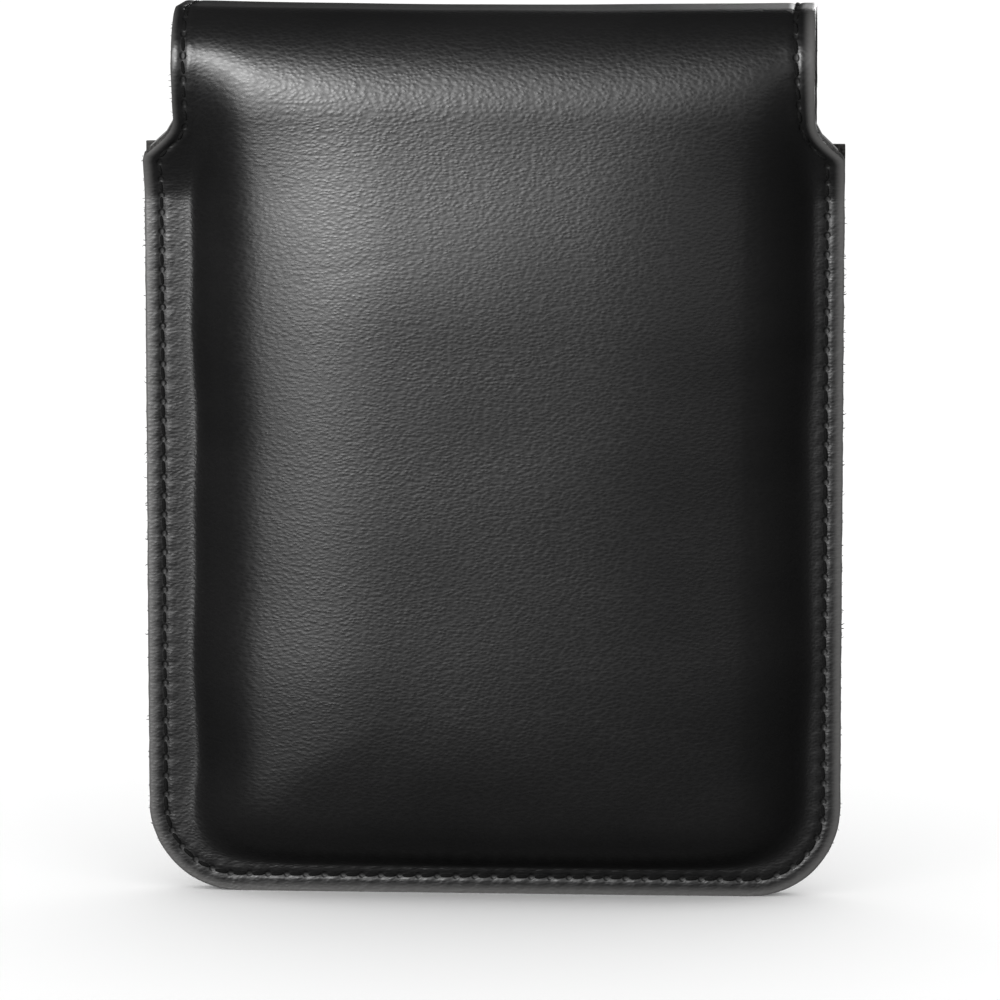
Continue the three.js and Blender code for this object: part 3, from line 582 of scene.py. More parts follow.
def fibres(name, count, seed):
    rng = np.random.default_rng(seed)
    points, faces = [], []
    for _ in range(count):
        side = rng.choice([-1, 1])
        v = rng.uniform(4, 140) * MM
        depth = rng.uniform(0.2, 1.1) * MM
        half = float(back_half(np.array(v)))
        root, _ = off_skin(back_skin, np.array(side * half), np.array(v), np.array(STACK - depth))
        reach = (0.08 + 0.45 * rng.uniform(0, 1) ** 3) * MM
        out = np.array([side * reach, -0.1 * reach, rng.normal(0, 0.5) * reach])
        bend = np.array([0.0, rng.normal(0, 0.3) * reach, rng.normal(0, 0.4) * reach])
        thick = rng.uniform(0.05, 0.11) * MM
        start = len(points)
        for along, girth in ((-0.4, 1.0), (0.5, 0.8), (1.0, 0.15)):
            middle = root + out * along + bend * along * along
            for turn in (0.0, 2.1, 4.2):
                points.append(middle + np.array([0, math.cos(turn), math.sin(turn)]) * thick * girth)
        for ring in (0, 3):
            for k in range(3):
                a, b = start + ring + k, start + ring + (k + 1) % 3
                faces.append((a, b, b + 3, a + 3) if side > 0 else (a + 3, b + 3, b, a))
        ends = ((start, start + 2, start + 1), (start + 6, start + 7, start + 8))
        faces += ends if side > 0 else [tuple(reversed(end)) for end in ends]
    mesh = bpy.data.meshes.new(name)
    mesh.from_pydata([tuple(p) for p in points], [], faces)
    piece = bpy.data.objects.new(name, mesh)
    bpy.context.collection.objects.link(piece)
    return piece


frayed = leather_finish("frayed_edge", 0.0)
edge_fibres = fibres("edge_fibres", 200, 11)
edge_fibres.data.materials.append(frayed)
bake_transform(edge_fibres)


# ---- Lining ----
# Thin black pile cloth, glued to the flesh side of every leather piece and caught in the seams.

def lining_finish():
    material, tree, shader = finish("pile_lining", (0.016, 0.0155, 0.015), 0.95)
    shader.inputs["Sheen Weight"].default_value = 0.25
    shader.inputs["Sheen Roughness"].default_value = 0.5
    place = node(tree, "ShaderNodeUVMap", uv_map="grain").outputs["UV"]
    nap = texture(tree, "Noise", place, Scale=3200.0, Detail=4.0, Roughness=0.7)
    brushed = texture(tree, "Noise", place, Scale=140.0, Detail=2.0)
    relief(tree, shader, nap.outputs["Fac"], 0.7, 0.0002)
    tone = mixed(tree, between(tree, brushed.outputs["Fac"], 0.35, 0.65, 0.0, 1.0),
                 (0.011, 0.0105, 0.01), (0.023, 0.022, 0.021))
    link(tree, tone, shader.inputs["Base Color"])
    return material


pile = lining_finish()


def lining_piece(name, skin, rows, half, outward=1):
    columns = np.array(from_edge(PANEL_HALF / MM, 15, 2.4)) / (PANEL_HALF / MM)
    v = np.array(rows)[:, None] * np.ones_like(columns)
    x = columns[None, :] * (half(v) - 0.2 * MM)
    places, _ = off_skin(skin, x, v, np.full_like(x, LINING), outward)
    under, _ = off_skin(skin, x, v, np.zeros_like(x), outward)
    piece = sheet_mesh(name, columns, rows, places, under, np.stack([x, v], -1), {})
    piece.data.materials.append(pile)
    smooth(piece, 50)
    return piece


def thinned(rows, keep=3):
    return rows[:1] + rows[1:-1:keep] + rows[-1:]


lining_back = lining_piece("lining_back", back_skin, thinned(back_rows), back_half)
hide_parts("back_lining", "flap_top_lining")
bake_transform(lining_back)
lining_flap = lining_piece("lining_flap", back_skin, thinned(flap_rows), flap_half)
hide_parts("flap_front_lining")
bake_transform(lining_flap)


def short_of_corners(v):
    """The front lining is skived back where the panel's corners stand clear of the back sheet."""
    return panel_half(v) - 4 * MM * ease(113 * MM, 116 * MM, v)


lining_front = lining_piece("lining_front", front_skin, thinned(front_rows), short_of_corners, -1)
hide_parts("front_lining")
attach(lining_front, "case")


# ---- Stitching ----
# Waxed black polyester thread in 3 mm lockstitches. Each stitch lies sunk in the groove that it has
# pulled in the leather, and dives into an awl hole at both ends.

def thread_finish():
    material, tree, shader = finish("waxed_thread", (0.003, 0.003, 0.003), 0.85, specular=0.08)
    place = node(tree, "ShaderNodeTexCoord").outputs["Object"]
    twist = texture(tree, "Wave", place, Scale=2600.0, Distortion=2.0, bands_direction="DIAGONAL")
    relief(tree, shader, twist.outputs["Fac"], 0.6, 0.0001)
    tone = mixed(tree, twist.outputs["Fac"], (0.002, 0.002, 0.002), (0.006, 0.006, 0.006))
    link(tree, tone, shader.inputs["Base Color"])
    return material


waxed_thread = thread_finish()


def one_stitch():
    """A stitch lying along X: a short fat thread whose ends bend down, towards -Z."""
    bpy.ops.object.select_all(action="DESELECT")
    bpy.ops.mesh.primitive_uv_sphere_add(segments=8, ring_count=8, radius=1, rotation=(0, math.pi / 2, 0))
    stitch = bpy.context.object
    bpy.ops.object.transform_apply(location=False, rotation=True, scale=False)
    for vertex in stitch.data.vertices:
        x, y, z = vertex.co
        across = 0.34 * MM * math.sqrt(max(1 - abs(x) ** 3, 0)) / max(math.hypot(y, z), 1e-6)
        if math.hypot(y, z) < 1e-6:
            across = 0
        vertex.co = (x * 1.28 * MM, y * across, z * across - 0.42 * MM * abs(x) ** 3)
    stitch.data.materials.append(waxed_thread)
    bpy.ops.object.shade_smooth()
    return stitch


def sew(name, skin, line, outward=1):
    """Stitches along a list of (x, v, next x, next v), joined as one piece."""
    pattern = one_stitch()
    made = []
    for i, (x, v, x2, v2) in enumerate(line):
        here, up = off_skin(skin, np.array(x), np.array(v), np.array(STACK - 0.2 * MM), outward)
        ahead, _ = off_skin(skin, np.array(x2), np.array(v2), np.array(STACK - 0.2 * MM), outward)
        along = Vector(ahead - here).normalized()
        up = Vector(up)
        side = up.cross(along).normalized()
        slant = Matrix.Rotation(math.radians(5 + 3 * math.sin(i * 2.3)), 3, "Z")
        turn = Matrix((along, side, up)).transposed() @ slant
        copy = pattern.copy()
        copy.data = pattern.data.copy()
        copy.data.transform(Matrix.Translation(Vector(here)) @ turn.to_4x4())
        bpy.context.collection.objects.link(copy)
        made.append(copy)
    bpy.data.objects.remove(pattern)
    pick(*made)
    bpy.ops.object.join()
    piece = bpy.context.object
    piece.name = name
    return piece


def panel_line(top, half):
    """Middles of the stitches up both sides, round the corners and along the bottom, up to height top."""
    straight = PANEL_HALF - CORNER_RADIUS
    radius = CORNER_RADIUS - SEAM_INSET
    corner = radius * math.pi / 2

    def at(length, side):
        if length < straight:
            return side * length, SEAM_INSET
        if length < straight + corner:
            turn = (length - straight) / radius
            return side * (straight + radius * math.sin(turn)), CORNER_RADIUS - radius * math.cos(turn)
        v = length - straight - corner + CORNER_RADIUS
        return side * float(half(np.array(v)) - seam_inset(np.array(v), side)), v

    line = []
    for side in (-1, 1):
        count = int((straight + corner + top - CORNER_RADIUS) / STITCH)
        for k in range(count):
            middle = (k + 0.5) * STITCH
            line.append(at(middle, side) + at(middle + 0.2 * MM, side))
    return line


stitching_back = sew("stitching_back", back_skin, panel_line(MID_TOP, back_half))
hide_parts("seam_thread_back", "flap_top_thread_left", "flap_top_thread_right")
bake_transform(stitching_back)


def flap_line():
    start = PANEL_HALF - CORNER_RADIUS + (CORNER_RADIUS - SEAM_INSET) * math.pi / 2 - CORNER_RADIUS
    bend = FLAP_STOP - FLAP_CORNER
    straight = STRAP_HALF - FLAP_CORNER
    first = math.ceil((start + MID_TOP) / STITCH)
    total = start + bend + (FLAP_CORNER - SEAM_INSET) * math.pi / 2 + straight

    def at(length, side):
        v = length - start
        inset = float(seam_inset(np.array(FLAP_STOP), side))
        if v < bend:
            return side * (STRAP_HALF - inset), v
        turn = (v - bend) / (FLAP_CORNER - SEAM_INSET)
        radius = FLAP_CORNER - inset
        if turn < math.pi / 2:
            return side * (straight + radius * math.cos(turn)), bend + radius * math.sin(turn)
        return side * (total - length), FLAP_STOP - inset

    line = []
    for side in (-1, 1):
        for k in range(first, int(total / STITCH)):
            middle = (k + 0.5) * STITCH
            line.append(at(middle, side) + at(middle + 0.2 * MM, side))
    return line


stitching_flap = sew("stitching_flap", back_skin, flap_line())
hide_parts("flap_front_thread")
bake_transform(stitching_flap)
stitching_front = sew("stitching_front", front_skin, panel_line(MOUTH - 1 * MM, panel_half), -1)
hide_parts("seam_thread_front")
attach(stitching_front, "case")


# ---- Press stud ----
# A nickel-plated brass press stud in four turned pieces. The domed cap is riveted through the flap to
# the socket, and the stud is riveted through the front panel to a flat post behind it.

def grained(name, first, second, roughness, scale, bump=0.0, metallic=0.0, stretch=(1, 1, 1), specular=0.5):
    """A finish that wanders between two colours, and between two roughnesses, with a fine relief."""
    material, tree, shader = finish(name, first, roughness[0], metallic, specular)
    place = node(tree, "ShaderNodeMapping")
    place.inputs["Scale"].default_value = stretch
    link(tree, node(tree, "ShaderNodeTexCoord").outputs["Object"], place.inputs["Vector"])
    cloud = texture(tree, "Noise", place.outputs["Vector"], Scale=scale, Detail=4.0, Roughness=0.6)
    share = between(tree, cloud.outputs["Fac"], 0.35, 0.65, 0.0, 1.0)
    link(tree, mixed(tree, share, first, second), shader.inputs["Base Color"])
    link(tree, between(tree, cloud.outputs["Fac"], 0.3, 0.7, *roughness), shader.inputs["Roughness"])
    if bump:
        relief(tree, shader, cloud.outputs["Fac"], bump, 0.0001)
    return material


def bevelled(piece, width, segments=2, angle=35):
    """Worn or moulded edges: a bevel on the sharp ones, applied, and smooth shading between them."""
    pick(piece)
    bevel = piece.modifiers.new("edges", "BEVEL")
    bevel.width, bevel.segments = width, segments
    bevel.limit_method, bevel.angle_limit = "ANGLE", math.radians(angle)
    bpy.ops.object.modifier_apply(modifier=bevel.name)
    smooth(piece, 40)
    return piece


def turned(name, centre_x, centre_z, start, stops, material, segments=48, edge=0.08 * MM):
    """A turned piece on a Y axis: a disc extruded and widened through stops, each a (y, radius)."""
    bpy.ops.object.select_all(action="DESELECT")
    bpy.ops.mesh.primitive_circle_add(vertices=segments, radius=start[1], fill_type="NGON",
                                      location=(centre_x, start[0], centre_z), rotation=(math.pi / 2, 0, 0))
    piece = bpy.context.object
    piece.name = name
    bpy.ops.object.transform_apply()
    bpy.ops.object.mode_set(mode="EDIT")
    bpy.ops.mesh.select_all(action="SELECT")
    at, radius = start
    for y, wide in stops:
        bpy.ops.mesh.extrude_region_move(TRANSFORM_OT_translate={"value": (0, y - at, 0)})
        growth = wide / radius
        bpy.ops.transform.resize(value=(growth, 1, growth), center_override=(centre_x, y, centre_z))
        at, radius = y, wide
    bpy.ops.mesh.select_all(action="SELECT")
    bpy.ops.mesh.normals_make_consistent(inside=False)
    bpy.ops.object.mode_set(mode="OBJECT")
    piece.data.materials.append(material)
    return bevelled(piece, edge)


def stand_in(piece, node_name, body):
    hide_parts(node_name)
    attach(piece, body)
    return piece


nickel = grained("nickel_plate", (0.62, 0.6, 0.57), (0.5, 0.48, 0.45), (0.16, 0.3), 900, 0.04, metallic=1.0)
cap_low, cap_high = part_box("snap_cap")
post_low, post_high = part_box("snap_post")
STUD_X = (cap_low.x + cap_high.x) / 2
STUD_Z = (cap_low.z + cap_high.z) / 2
FLAP_OUT = SEAM_Y + FLAP_DEPTH + STACK
FLAP_IN = SEAM_Y + FLAP_DEPTH
FRONT_OUT = SEAM_Y + FRONT_DEPTH + STACK
FRONT_IN = SEAM_Y + FRONT_DEPTH


def steps(face, *pairs):
    return [(face + y * MM, radius * MM) for y, radius in pairs]


cap = turned("press_stud_cap", STUD_X, STUD_Z, (FLAP_IN - 0.2 * MM, 1.7 * MM), steps(
    FLAP_OUT, (0.05, 1.7), (0.05, 6.1), (0.2, 6.3), (0.36, 6.3), (0.42, 5.7), (0.85, 5.1), (1.14, 4.0),
    (1.31, 2.8), (1.39, 1.4), (1.4, 0.3)), nickel)
stand_in(cap, "snap_cap", "flap_end")
socket = turned("press_stud_socket", STUD_X, STUD_Z, (FLAP_IN - 0.05 * MM, 4.3 * MM), steps(
    FRONT_OUT, (2.0, 4.8), (0.9, 4.8), (0.65, 4.4), (0.65, 3.0), (0.85, 2.6), (1.9, 2.6)), nickel)
stand_in(socket, "snap_socket", "flap_end")
stud = turned("press_stud_stud", STUD_X, STUD_Z, (FRONT_OUT + 0.05 * MM, 4.4 * MM), steps(
    FRONT_OUT, (0.2, 4.6), (0.38, 4.5), (0.45, 4.1), (0.45, 1.6), (0.7, 1.5), (1.0, 1.9), (1.35, 1.85),
    (1.65, 1.4), (1.75, 0.7)), nickel)
stand_in(stud, "snap_stud", "case")
post_x, post_z = (post_low.x + post_high.x) / 2, (post_low.z + post_high.z) / 2
post = turned("press_stud_post", post_x, post_z, (FRONT_IN - 0.45 * MM, 4.1 * MM), steps(
    FRONT_IN, (-0.35, 4.4), (-0.05, 4.4), (-0.05, 1.7), (2.0, 1.7)), nickel)
stand_in(post, "snap_post", "case")


# ---- Radio cabinet ----
# Two shells of moulded ivory polystyrene, 1.6 mm thick, screwed together through bosses. The front
# one has seats for the grille, the dial plate and the knob. The back one has the battery door.

WALL = 1.6 * MM
knob_low, knob_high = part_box("tuning_knob")
plate_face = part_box("dial_plate")[1].y
door_low, door_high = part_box("battery_door")
screw_low, screw_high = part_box("shell_screw_1")
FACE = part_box("front_shell")[1].y
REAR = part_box("back_shell")[0].y
KNOB_X, KNOB_Z = (knob_low.x + knob_high.x) / 2, (knob_low.z + knob_high.z) / 2
KNOB_RADIUS = (knob_high.x - knob_low.x) / 2
SCREW_Z = (screw_low.z + screw_high.z) / 2
SCREW_X = abs(screw_low.x + screw_high.x) / 2


def block(low, high, corner=0.0, segments=6):
    """A box between two corners, with the edges that run along Y rounded."""
    low, high = Vector(low), Vector(high)
    bpy.ops.object.select_all(action="DESELECT")
    bpy.ops.mesh.primitive_cube_add(size=1, location=(low + high) / 2)
    piece = bpy.context.object
    piece.scale = high - low
    bpy.ops.object.transform_apply()
    if corner:
        bpy.ops.object.mode_set(mode="EDIT")
        bpy.ops.mesh.select_all(action="DESELECT")
        bpy.ops.object.mode_set(mode="OBJECT")
        for edge in piece.data.edges:
            a, b = (piece.data.vertices[i].co for i in edge.vertices)
            edge.select = abs(a.y - b.y) > 0.9 * (high.y - low.y)
        bpy.ops.object.mode_set(mode="EDIT")
        bpy.ops.mesh.select_mode(type="EDGE")
        bpy.ops.mesh.bevel(offset=corner, segments=segments, affect="EDGES")
        bpy.ops.object.mode_set(mode="OBJECT")
    return piece


def cut(piece, *tools):
    for tool in tools:
        pick(piece)
        hole = piece.modifiers.new("hole", "BOOLEAN")
        hole.operation, hole.object, hole.solver = "DIFFERENCE", tool, "EXACT"
        bpy.ops.object.modifier_apply(modifier=hole.name)
        bpy.data.objects.remove(tool)
    return piece


def refined(node_name, body, material, edge=0.12 * MM, name=None):
    """A copy of a CAD piece: loose triangles merged, flat faces made whole and sharp edges rounded."""
    original = frame["nodes"][node_name]
    piece = bpy.data.objects.new(name or f"{node_name}_finished", original.data.copy())
    bpy.context.collection.objects.link(piece)
    pick(piece)
    bpy.ops.object.mode_set(mode="EDIT")
    bpy.ops.mesh.select_all(action="SELECT")
    bpy.ops.mesh.remove_doubles(threshold=0.005 * MM)
    bpy.ops.mesh.dissolve_limited(angle_limit=math.radians(1))
    bpy.ops.object.mode_set(mode="OBJECT")
    piece.data.materials.clear()
    piece.data.materials.append(material)
    if edge:
        bevelled(piece, edge)
    smooth(piece, 35)
    return stand_in(piece, node_name, body)


ivory = grained("ivory_polystyrene", (0.62, 0.55, 0.42), (0.67, 0.6, 0.47), (0.2, 0.3), 60)
refined("front_shell", "radio", ivory, 0, "cabinet_front")
refined("back_shell", "radio", ivory, 0, "cabinet_back")

door = block((door_low.x, REAR, door_low.z), (door_high.x, REAR + WALL, door_high.z), 2.2 * MM)
door.name = "battery_door_cover"
cut(door, *[block((-8 * MM, REAR - 1 * MM, door_high.z - (6.5 - 1.6 * i) * MM),
                  (8 * MM, REAR + 0.4 * MM, door_high.z - (5.9 - 1.6 * i) * MM)) for i in range(3)])
door.data.materials.append(ivory)
stand_in(bevelled(door, 0.2 * MM), "battery_door", "radio")

zinc = grained("zinc_plate", (0.5, 0.5, 0.49), (0.42, 0.41, 0.39), (0.28, 0.42), 700, 0.05, metallic=1.0)
for side, number in ((-1, 1), (1, 2)):
    screw = turned(f"cabinet_screw_{number}", side * SCREW_X, SCREW_Z, (screw_high.y, 0.8 * MM), [
        (screw_high.y - 1 * MM, 1.0 * MM), (screw_low.y + 0.8 * MM, 1.0 * MM),
        (screw_low.y + 0.6 * MM, 2.6 * MM), (screw_low.y + 0.25 * MM, 2.6 * MM), (screw_low.y, 1.9 * MM),
    ], zinc, 28, 0.05 * MM)
    cut(screw, block((side * SCREW_X - 3 * MM, screw_low.y - 1 * MM, SCREW_Z - 0.3 * MM),
                     (side * SCREW_X + 3 * MM, screw_low.y + 0.45 * MM, SCREW_Z + 0.3 * MM)))
    stand_in(screw, f"shell_screw_{number}", "radio")


# ---- Grille and dial plate ----
# Satin anodised sheet. The grille has thirteen slots pressed through it over the loudspeaker, and
# the plate carries the red pointer that the dial's numbers are read against.

anodised = grained("satin_anodised", (0.6, 0.6, 0.59), (0.7, 0.7, 0.69), (0.3, 0.42), 500, 0.12, metallic=1.0,
                   stretch=(0.08, 1, 4))
refined("speaker_grille", "radio", anodised, name="grille_sheet")
refined("dial_plate", "radio", anodised, name="dial_plate_sheet")
red_enamel = grained("red_enamel", (0.5, 0.03, 0.02), (0.42, 0.02, 0.02), (0.3, 0.4), 400)
bpy.ops.object.select_all(action="DESELECT")
pointer_place = (KNOB_X - KNOB_RADIUS - 2.8 * MM, plate_face + 0.05 * MM, KNOB_Z)
bpy.ops.mesh.primitive_cylinder_add(vertices=3, radius=1.5 * MM, depth=0.3 * MM, location=pointer_place,
                                    rotation=(math.pi / 2, math.pi / 2, 0))
pointer = bpy.context.object
pointer.name = "dial_pointer"
bpy.ops.object.transform_apply()
pointer.data.materials.append(red_enamel)
bevelled(pointer, 0.08 * MM)
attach(pointer, "radio")


# ---- Tuning knob and volume wheel ----
# Black moulded knobs. The tuning knob is a wide flat dial with a knurled rim and white numbers filled
# into its face, and is held on the tuning shaft by one screw. The wheel shows through the side.

black_moulding = grained("black_moulding", (0.012, 0.012, 0.013), (0.02, 0.02, 0.021), (0.2, 0.32), 500)
knob = turned("tuning_dial_knob", KNOB_X, KNOB_Z, (knob_low.y, 3.2 * MM), [
    (FACE - 1.1 * MM, 3.2 * MM), (FACE - 1.1 * MM, KNOB_RADIUS - 0.3 * MM), (FACE - 0.9 * MM, KNOB_RADIUS),
    (FACE + 0.8 * MM, KNOB_RADIUS), (FACE + 1.3 * MM, KNOB_RADIUS - 0.6 * MM),
    (FACE + 1.3 * MM, KNOB_RADIUS - 1.6 * MM), (FACE + 1.05 * MM, KNOB_RADIUS - 1.9 * MM),
    (FACE + 1.05 * MM, 6.6 * MM), (FACE + 1.3 * MM, 6.2 * MM), (FACE + 1.3 * MM, 3.5 * MM),
    (FACE + 0.4 * MM, 3.4 * MM)], black_moulding, 96, 0.06 * MM)
for vertex in knob.data.vertices:
    out = Vector((vertex.co.x - KNOB_X, 0, vertex.co.z - KNOB_Z))
    if out.length > KNOB_RADIUS - 0.25 * MM:
        notch = 0.5 + 0.5 * math.cos(48 * math.atan2(out.z, out.x))
        vertex.co -= out.normalized() * 0.4 * MM * notch
stand_in(knob, "tuning_knob", "tuning")
screw_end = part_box("knob_screw")[0].y
knob_fastener = turned("tuning_dial_screw", KNOB_X, KNOB_Z, (screw_end, 0.8 * MM), [
    (screw_end + 0.3 * MM, 1.0 * MM), (FACE + 0.5 * MM, 1.0 * MM), (FACE + 0.5 * MM, 2.9 * MM),
    (FACE + 0.9 * MM, 2.9 * MM), (FACE + 1.1 * MM, 2.3 * MM)], zinc, 32, 0.05 * MM)
cut(knob_fastener, block((KNOB_X - 3.5 * MM, FACE + 0.75 * MM, KNOB_Z - 0.35 * MM),
                         (KNOB_X + 3.5 * MM, FACE + 2 * MM, KNOB_Z + 0.35 * MM)))
stand_in(knob_fastener, "knob_screw", "tuning")

NUMBER_RING = 9.3 * MM
white_fill = grained("white_paint_fill", (0.75, 0.74, 0.7), (0.66, 0.65, 0.6), (0.45, 0.6), 900)
for i, number in enumerate(("54", "60", "70", "80", "100", "120", "140", "160")):
    turn = math.radians(180 - i * 36)
    bpy.ops.object.select_all(action="DESELECT")
    bpy.ops.object.text_add()
    figure = bpy.context.object
    figure.data.body = number
    figure.data.size = 3.0 * MM
    figure.data.align_x, figure.data.align_y = "CENTER", "CENTER"
    figure.data.extrude = 0.08 * MM
    figure.data.resolution_u = 3
    bpy.ops.object.convert(target="MESH")
    figure = bpy.context.object
    facing = Matrix(((-1, 0, 0), (0, 0, 1), (0, 1, 0)))
    outward = Matrix.Rotation(turn - math.pi / 2, 3, "Z")
    across, up = NUMBER_RING * math.cos(turn), NUMBER_RING * math.sin(turn)
    place = Vector((KNOB_X - across, FACE + 1.06 * MM, KNOB_Z + up))
    figure.data.transform(Matrix.Translation(place) @ (facing @ outward).to_4x4())
    figure.name = f"dial_number_{number}"
    figure.data.materials.append(white_fill)
    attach(figure, "tuning")

refined("volume_wheel", "volume", black_moulding, 0.15 * MM, "volume_thumbwheel")


# ---- Inside the cabinet ----
# The works of a six-transistor set: board, cans, transformers, loudspeaker, aerial and battery. Their
# shapes are the CAD model's, and each gets the surface of what it is made of.

def wound(name, first, second, turns, axis, metallic=0.0):
    """Close turns of wire or ribs, as light and dark bands along an axis."""
    material, tree, shader = finish(name, first, 0.35, metallic)
    place = node(tree, "ShaderNodeTexCoord").outputs["Object"]
    bands = texture(tree, "Wave", place, Scale=turns, bands_direction=axis, wave_profile="SIN")
    link(tree, mixed(tree, bands.outputs["Fac"], first, second), shader.inputs["Base Color"])
    relief(tree, shader, bands.outputs["Fac"], 0.5, 0.0002)
    return material


def printed_board(name):
    """Brown phenolic laminate with darker paper fibres and tinned copper tracks."""
    material, tree, shader = finish(name, (0.3, 0.15, 0.06), 0.5)
    place = node(tree, "ShaderNodeTexCoord").outputs["Object"]
    fibres = texture(tree, "Noise", place, Scale=900.0, Detail=4.0)
    laminate = mixed(tree, between(tree, fibres.outputs["Fac"], 0.35, 0.65, 0.0, 1.0),
                     (0.24, 0.11, 0.045), (0.36, 0.19, 0.08))
    islands = texture(tree, "Voronoi", place, feature="DISTANCE_TO_EDGE", Scale=170.0)
    track = between(tree, islands.outputs["Distance"], 0.12, 0.16, 0.0, 1.0)
    link(tree, mixed(tree, track, laminate, (0.5, 0.45, 0.36)), shader.inputs["Base Color"])
    link(tree, between(tree, track, 0.0, 1.0, 0.55, 0.3), shader.inputs["Roughness"])
    relief(tree, shader, track, 0.5, 0.0001)
    return material


tinplate = grained("tinned_steel", (0.56, 0.56, 0.55), (0.47, 0.47, 0.45), (0.25, 0.4), 420, 0.06,
                   metallic=1.0)
ferrite = grained("sintered_ferrite", (0.018, 0.018, 0.019), (0.032, 0.031, 0.03), (0.5, 0.7), 1500, 0.3)
paper = grained("pressed_paper", (0.04, 0.037, 0.033), (0.065, 0.06, 0.052), (0.8, 0.95), 1300, 0.5)
insulation_red = grained("red_lead_sleeve", (0.35, 0.02, 0.015), (0.28, 0.015, 0.012), (0.35, 0.5), 600,
                         0.05)
insulation_black = grained("black_lead_sleeve", (0.014, 0.014, 0.014), (0.022, 0.022, 0.022),
                           (0.35, 0.5), 600, 0.05)
jacket = grained("battery_jacket", (0.03, 0.08, 0.15), (0.045, 0.1, 0.18), (0.22, 0.36), 240)
sleeve = grained("capacitor_sleeve", (0.05, 0.1, 0.24), (0.07, 0.13, 0.28), (0.3, 0.4), 500)
carbon = wound("resistor_bands", (0.32, 0.2, 0.09), (0.09, 0.03, 0.015), 180, "X")
glass = grained("diode_glass", (0.05, 0.03, 0.02), (0.3, 0.27, 0.2), (0.06, 0.14), 700)
enamelled = wound("enamelled_copper", (0.42, 0.14, 0.04), (0.2, 0.06, 0.02), 600, "X", metallic=0.8)
laminations = wound("transformer_laminations", (0.32, 0.31, 0.3), (0.16, 0.155, 0.15), 380, "Z",
                    metallic=0.9)
board = printed_board("phenolic_board")
surfaces = {
    "tuning_capacitor": tinplate, "tuning_rotor": tinplate, "volume_control": tinplate,
    "oscillator_coil": tinplate,
    "speaker_frame": zinc, "speaker_magnet": ferrite, "ferrite_rod": ferrite, "speaker_cone": paper,
    "antenna_coil": enamelled, "battery": jacket, "battery_snap": black_moulding,
    "earphone_jack": black_moulding,
    "circuit_board": board, "resistor_1": carbon, "resistor_2": carbon, "detector_diode": glass,
    "driver_transformer": laminations, "output_transformer": laminations,
    "battery_lead_1": insulation_red, "battery_lead_2": insulation_black,
}
surfaces.update({f"if_can_{i}": tinplate for i in (1, 2, 3)})
surfaces.update({f"transistor_{i}": tinplate for i in range(1, 7)})
surfaces.update({f"electrolytic_{i}": sleeve for i in (1, 2, 3)})
for node_name, material in surfaces.items():
    for place in frame["nodes"][node_name].material_slots:
        place.material = material


# ---- Room, light and camera ----
# A white sweep and a long lens. A key light at the upper left and a low one from the left fall on the
# leather only, a broad one beyond the case lights all but the floor, and a weak one comes from the right.

def stage_finish():
    material, tree, shader = finish("white_sweep", (0.88, 0.88, 0.88), 0.9, specular=0.1)
    shader.inputs["Emission Color"].default_value = (1, 1, 1, 1)
    shader.inputs["Emission Strength"].default_value = 0.1
    return material


bpy.ops.object.select_all(action="DESELECT")
bpy.ops.mesh.primitive_plane_add(size=6, location=(0, 1.5, 0))
floor = bpy.context.object
floor.name = "studio_floor"
bpy.ops.object.transform_apply(location=True)
floor.data.materials.append(stage_finish())
floor.visible_glossy = False


def soft_light(name, place, aim, width, height, power):
    lamp = bpy.data.lights.new(name, "AREA")
    lamp.shape = "RECTANGLE"
    lamp.size, lamp.size_y = width, height
    lamp.energy = power
    thing = bpy.data.objects.new(name, lamp)
    thing.location = place
    thing.rotation_euler = (Vector(aim) - Vector(place)).to_track_quat("-Z", "Y").to_euler()
    bpy.context.collection.objects.link(thing)
    return thing


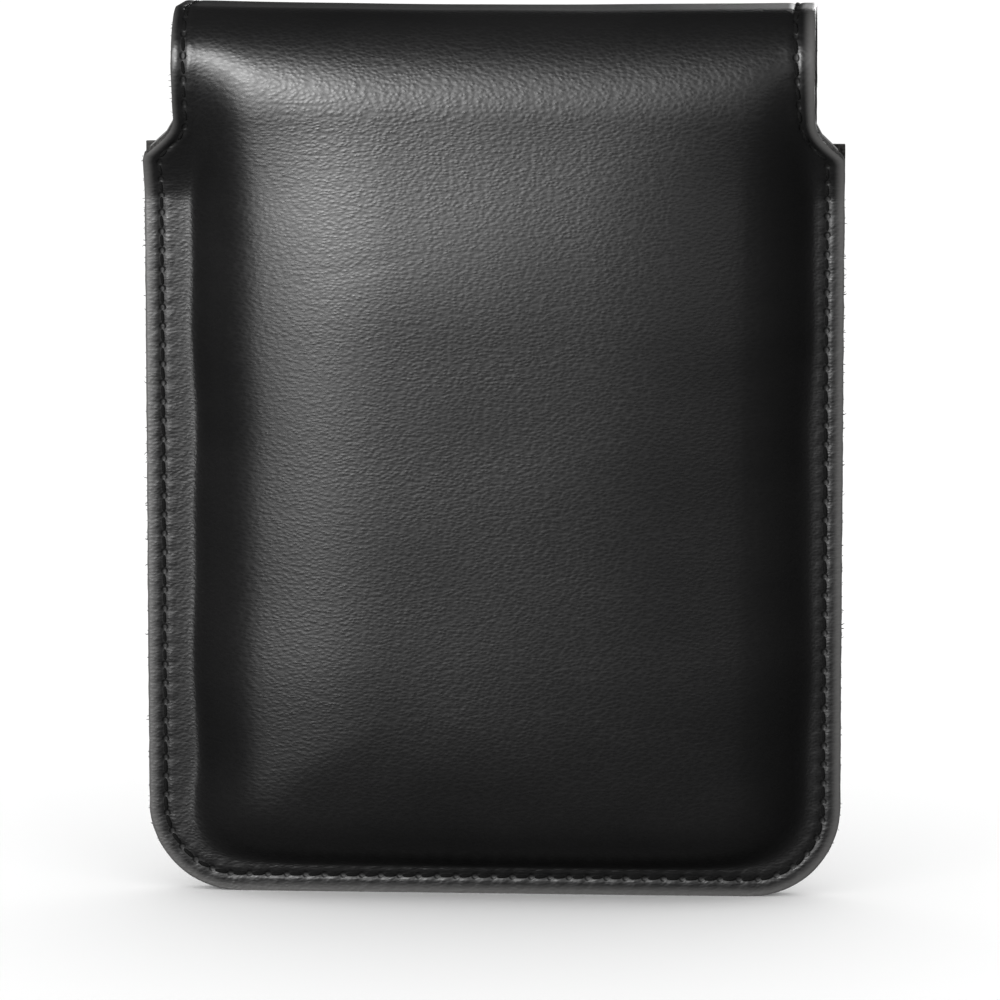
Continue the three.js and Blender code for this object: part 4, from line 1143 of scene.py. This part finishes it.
key = soft_light("key_light", (-0.16, -0.40, 0.24), (-0.02, 0, 0.11), 0.16, 0.14, 3.0)
low = soft_light("low_light", (-0.38, -0.7, 0.05), (0, 0, 0.03), 0.3, 0.1, 1.6)
key_lit = bpy.data.collections.new("key_lit")
for piece in (leather_back, leather_flap, leather_front, stitching_back, stitching_flap, stitching_front,
              edge_fibres, lining_back, lining_flap, lining_front):
    key_lit.objects.link(piece)
for light in (key, low):
    light.light_linking.receiver_collection = key_lit
front = soft_light("front_light", (0.5, 1.1, 0.3), (0, 0, 0.08), 0.9, 0.7, 14)
front_lit = bpy.data.collections.new("front_lit")
for piece in list(bpy.context.scene.objects):
    if piece.type == "MESH" and piece is not floor:
        front_lit.objects.link(piece)
front.light_linking.receiver_collection = front_lit
soft_light("side_light", (0.45, -1.0, 0.3), (0, 0, 0.07), 0.3, 0.5, 0.6)

ROOM_LIGHT = 1.14
ROOM_GLOSS = 0.05
world = bpy.data.worlds.new("studio")
world.use_nodes = True
world.node_tree.nodes["Background"].inputs["Color"].default_value = (1, 1, 1, 1)
rays = world.node_tree.nodes.new("ShaderNodeLightPath").outputs["Is Glossy Ray"]
strength = mix_number(world.node_tree, rays, ROOM_LIGHT, ROOM_GLOSS)
world.node_tree.links.new(strength, world.node_tree.nodes["Background"].inputs["Strength"])
bpy.context.scene.world = world
bpy.context.scene.view_settings.view_transform = "Standard"

AZIMUTH = math.radians(3.5)
ELEVATION = math.radians(8)
DISTANCE = 1.0
VIEW_WIDTH = 0.158
camera_data = bpy.data.cameras.new("camera")
camera_data.sensor_width = 36
camera_data.lens = 36 * DISTANCE / VIEW_WIDTH
camera = bpy.data.objects.new("camera", camera_data)
look_at = Vector((0.0009, SEAM_Y, 0.0629))
offset = Vector((
    math.sin(AZIMUTH) * math.cos(ELEVATION), -math.cos(AZIMUTH) * math.cos(ELEVATION), math.sin(ELEVATION)))
camera.location = look_at + offset * DISTANCE
camera.rotation_euler = (look_at - camera.location).to_track_quat("-Z", "Y").to_euler()
bpy.context.collection.objects.link(camera)
bpy.context.scene.camera = camera
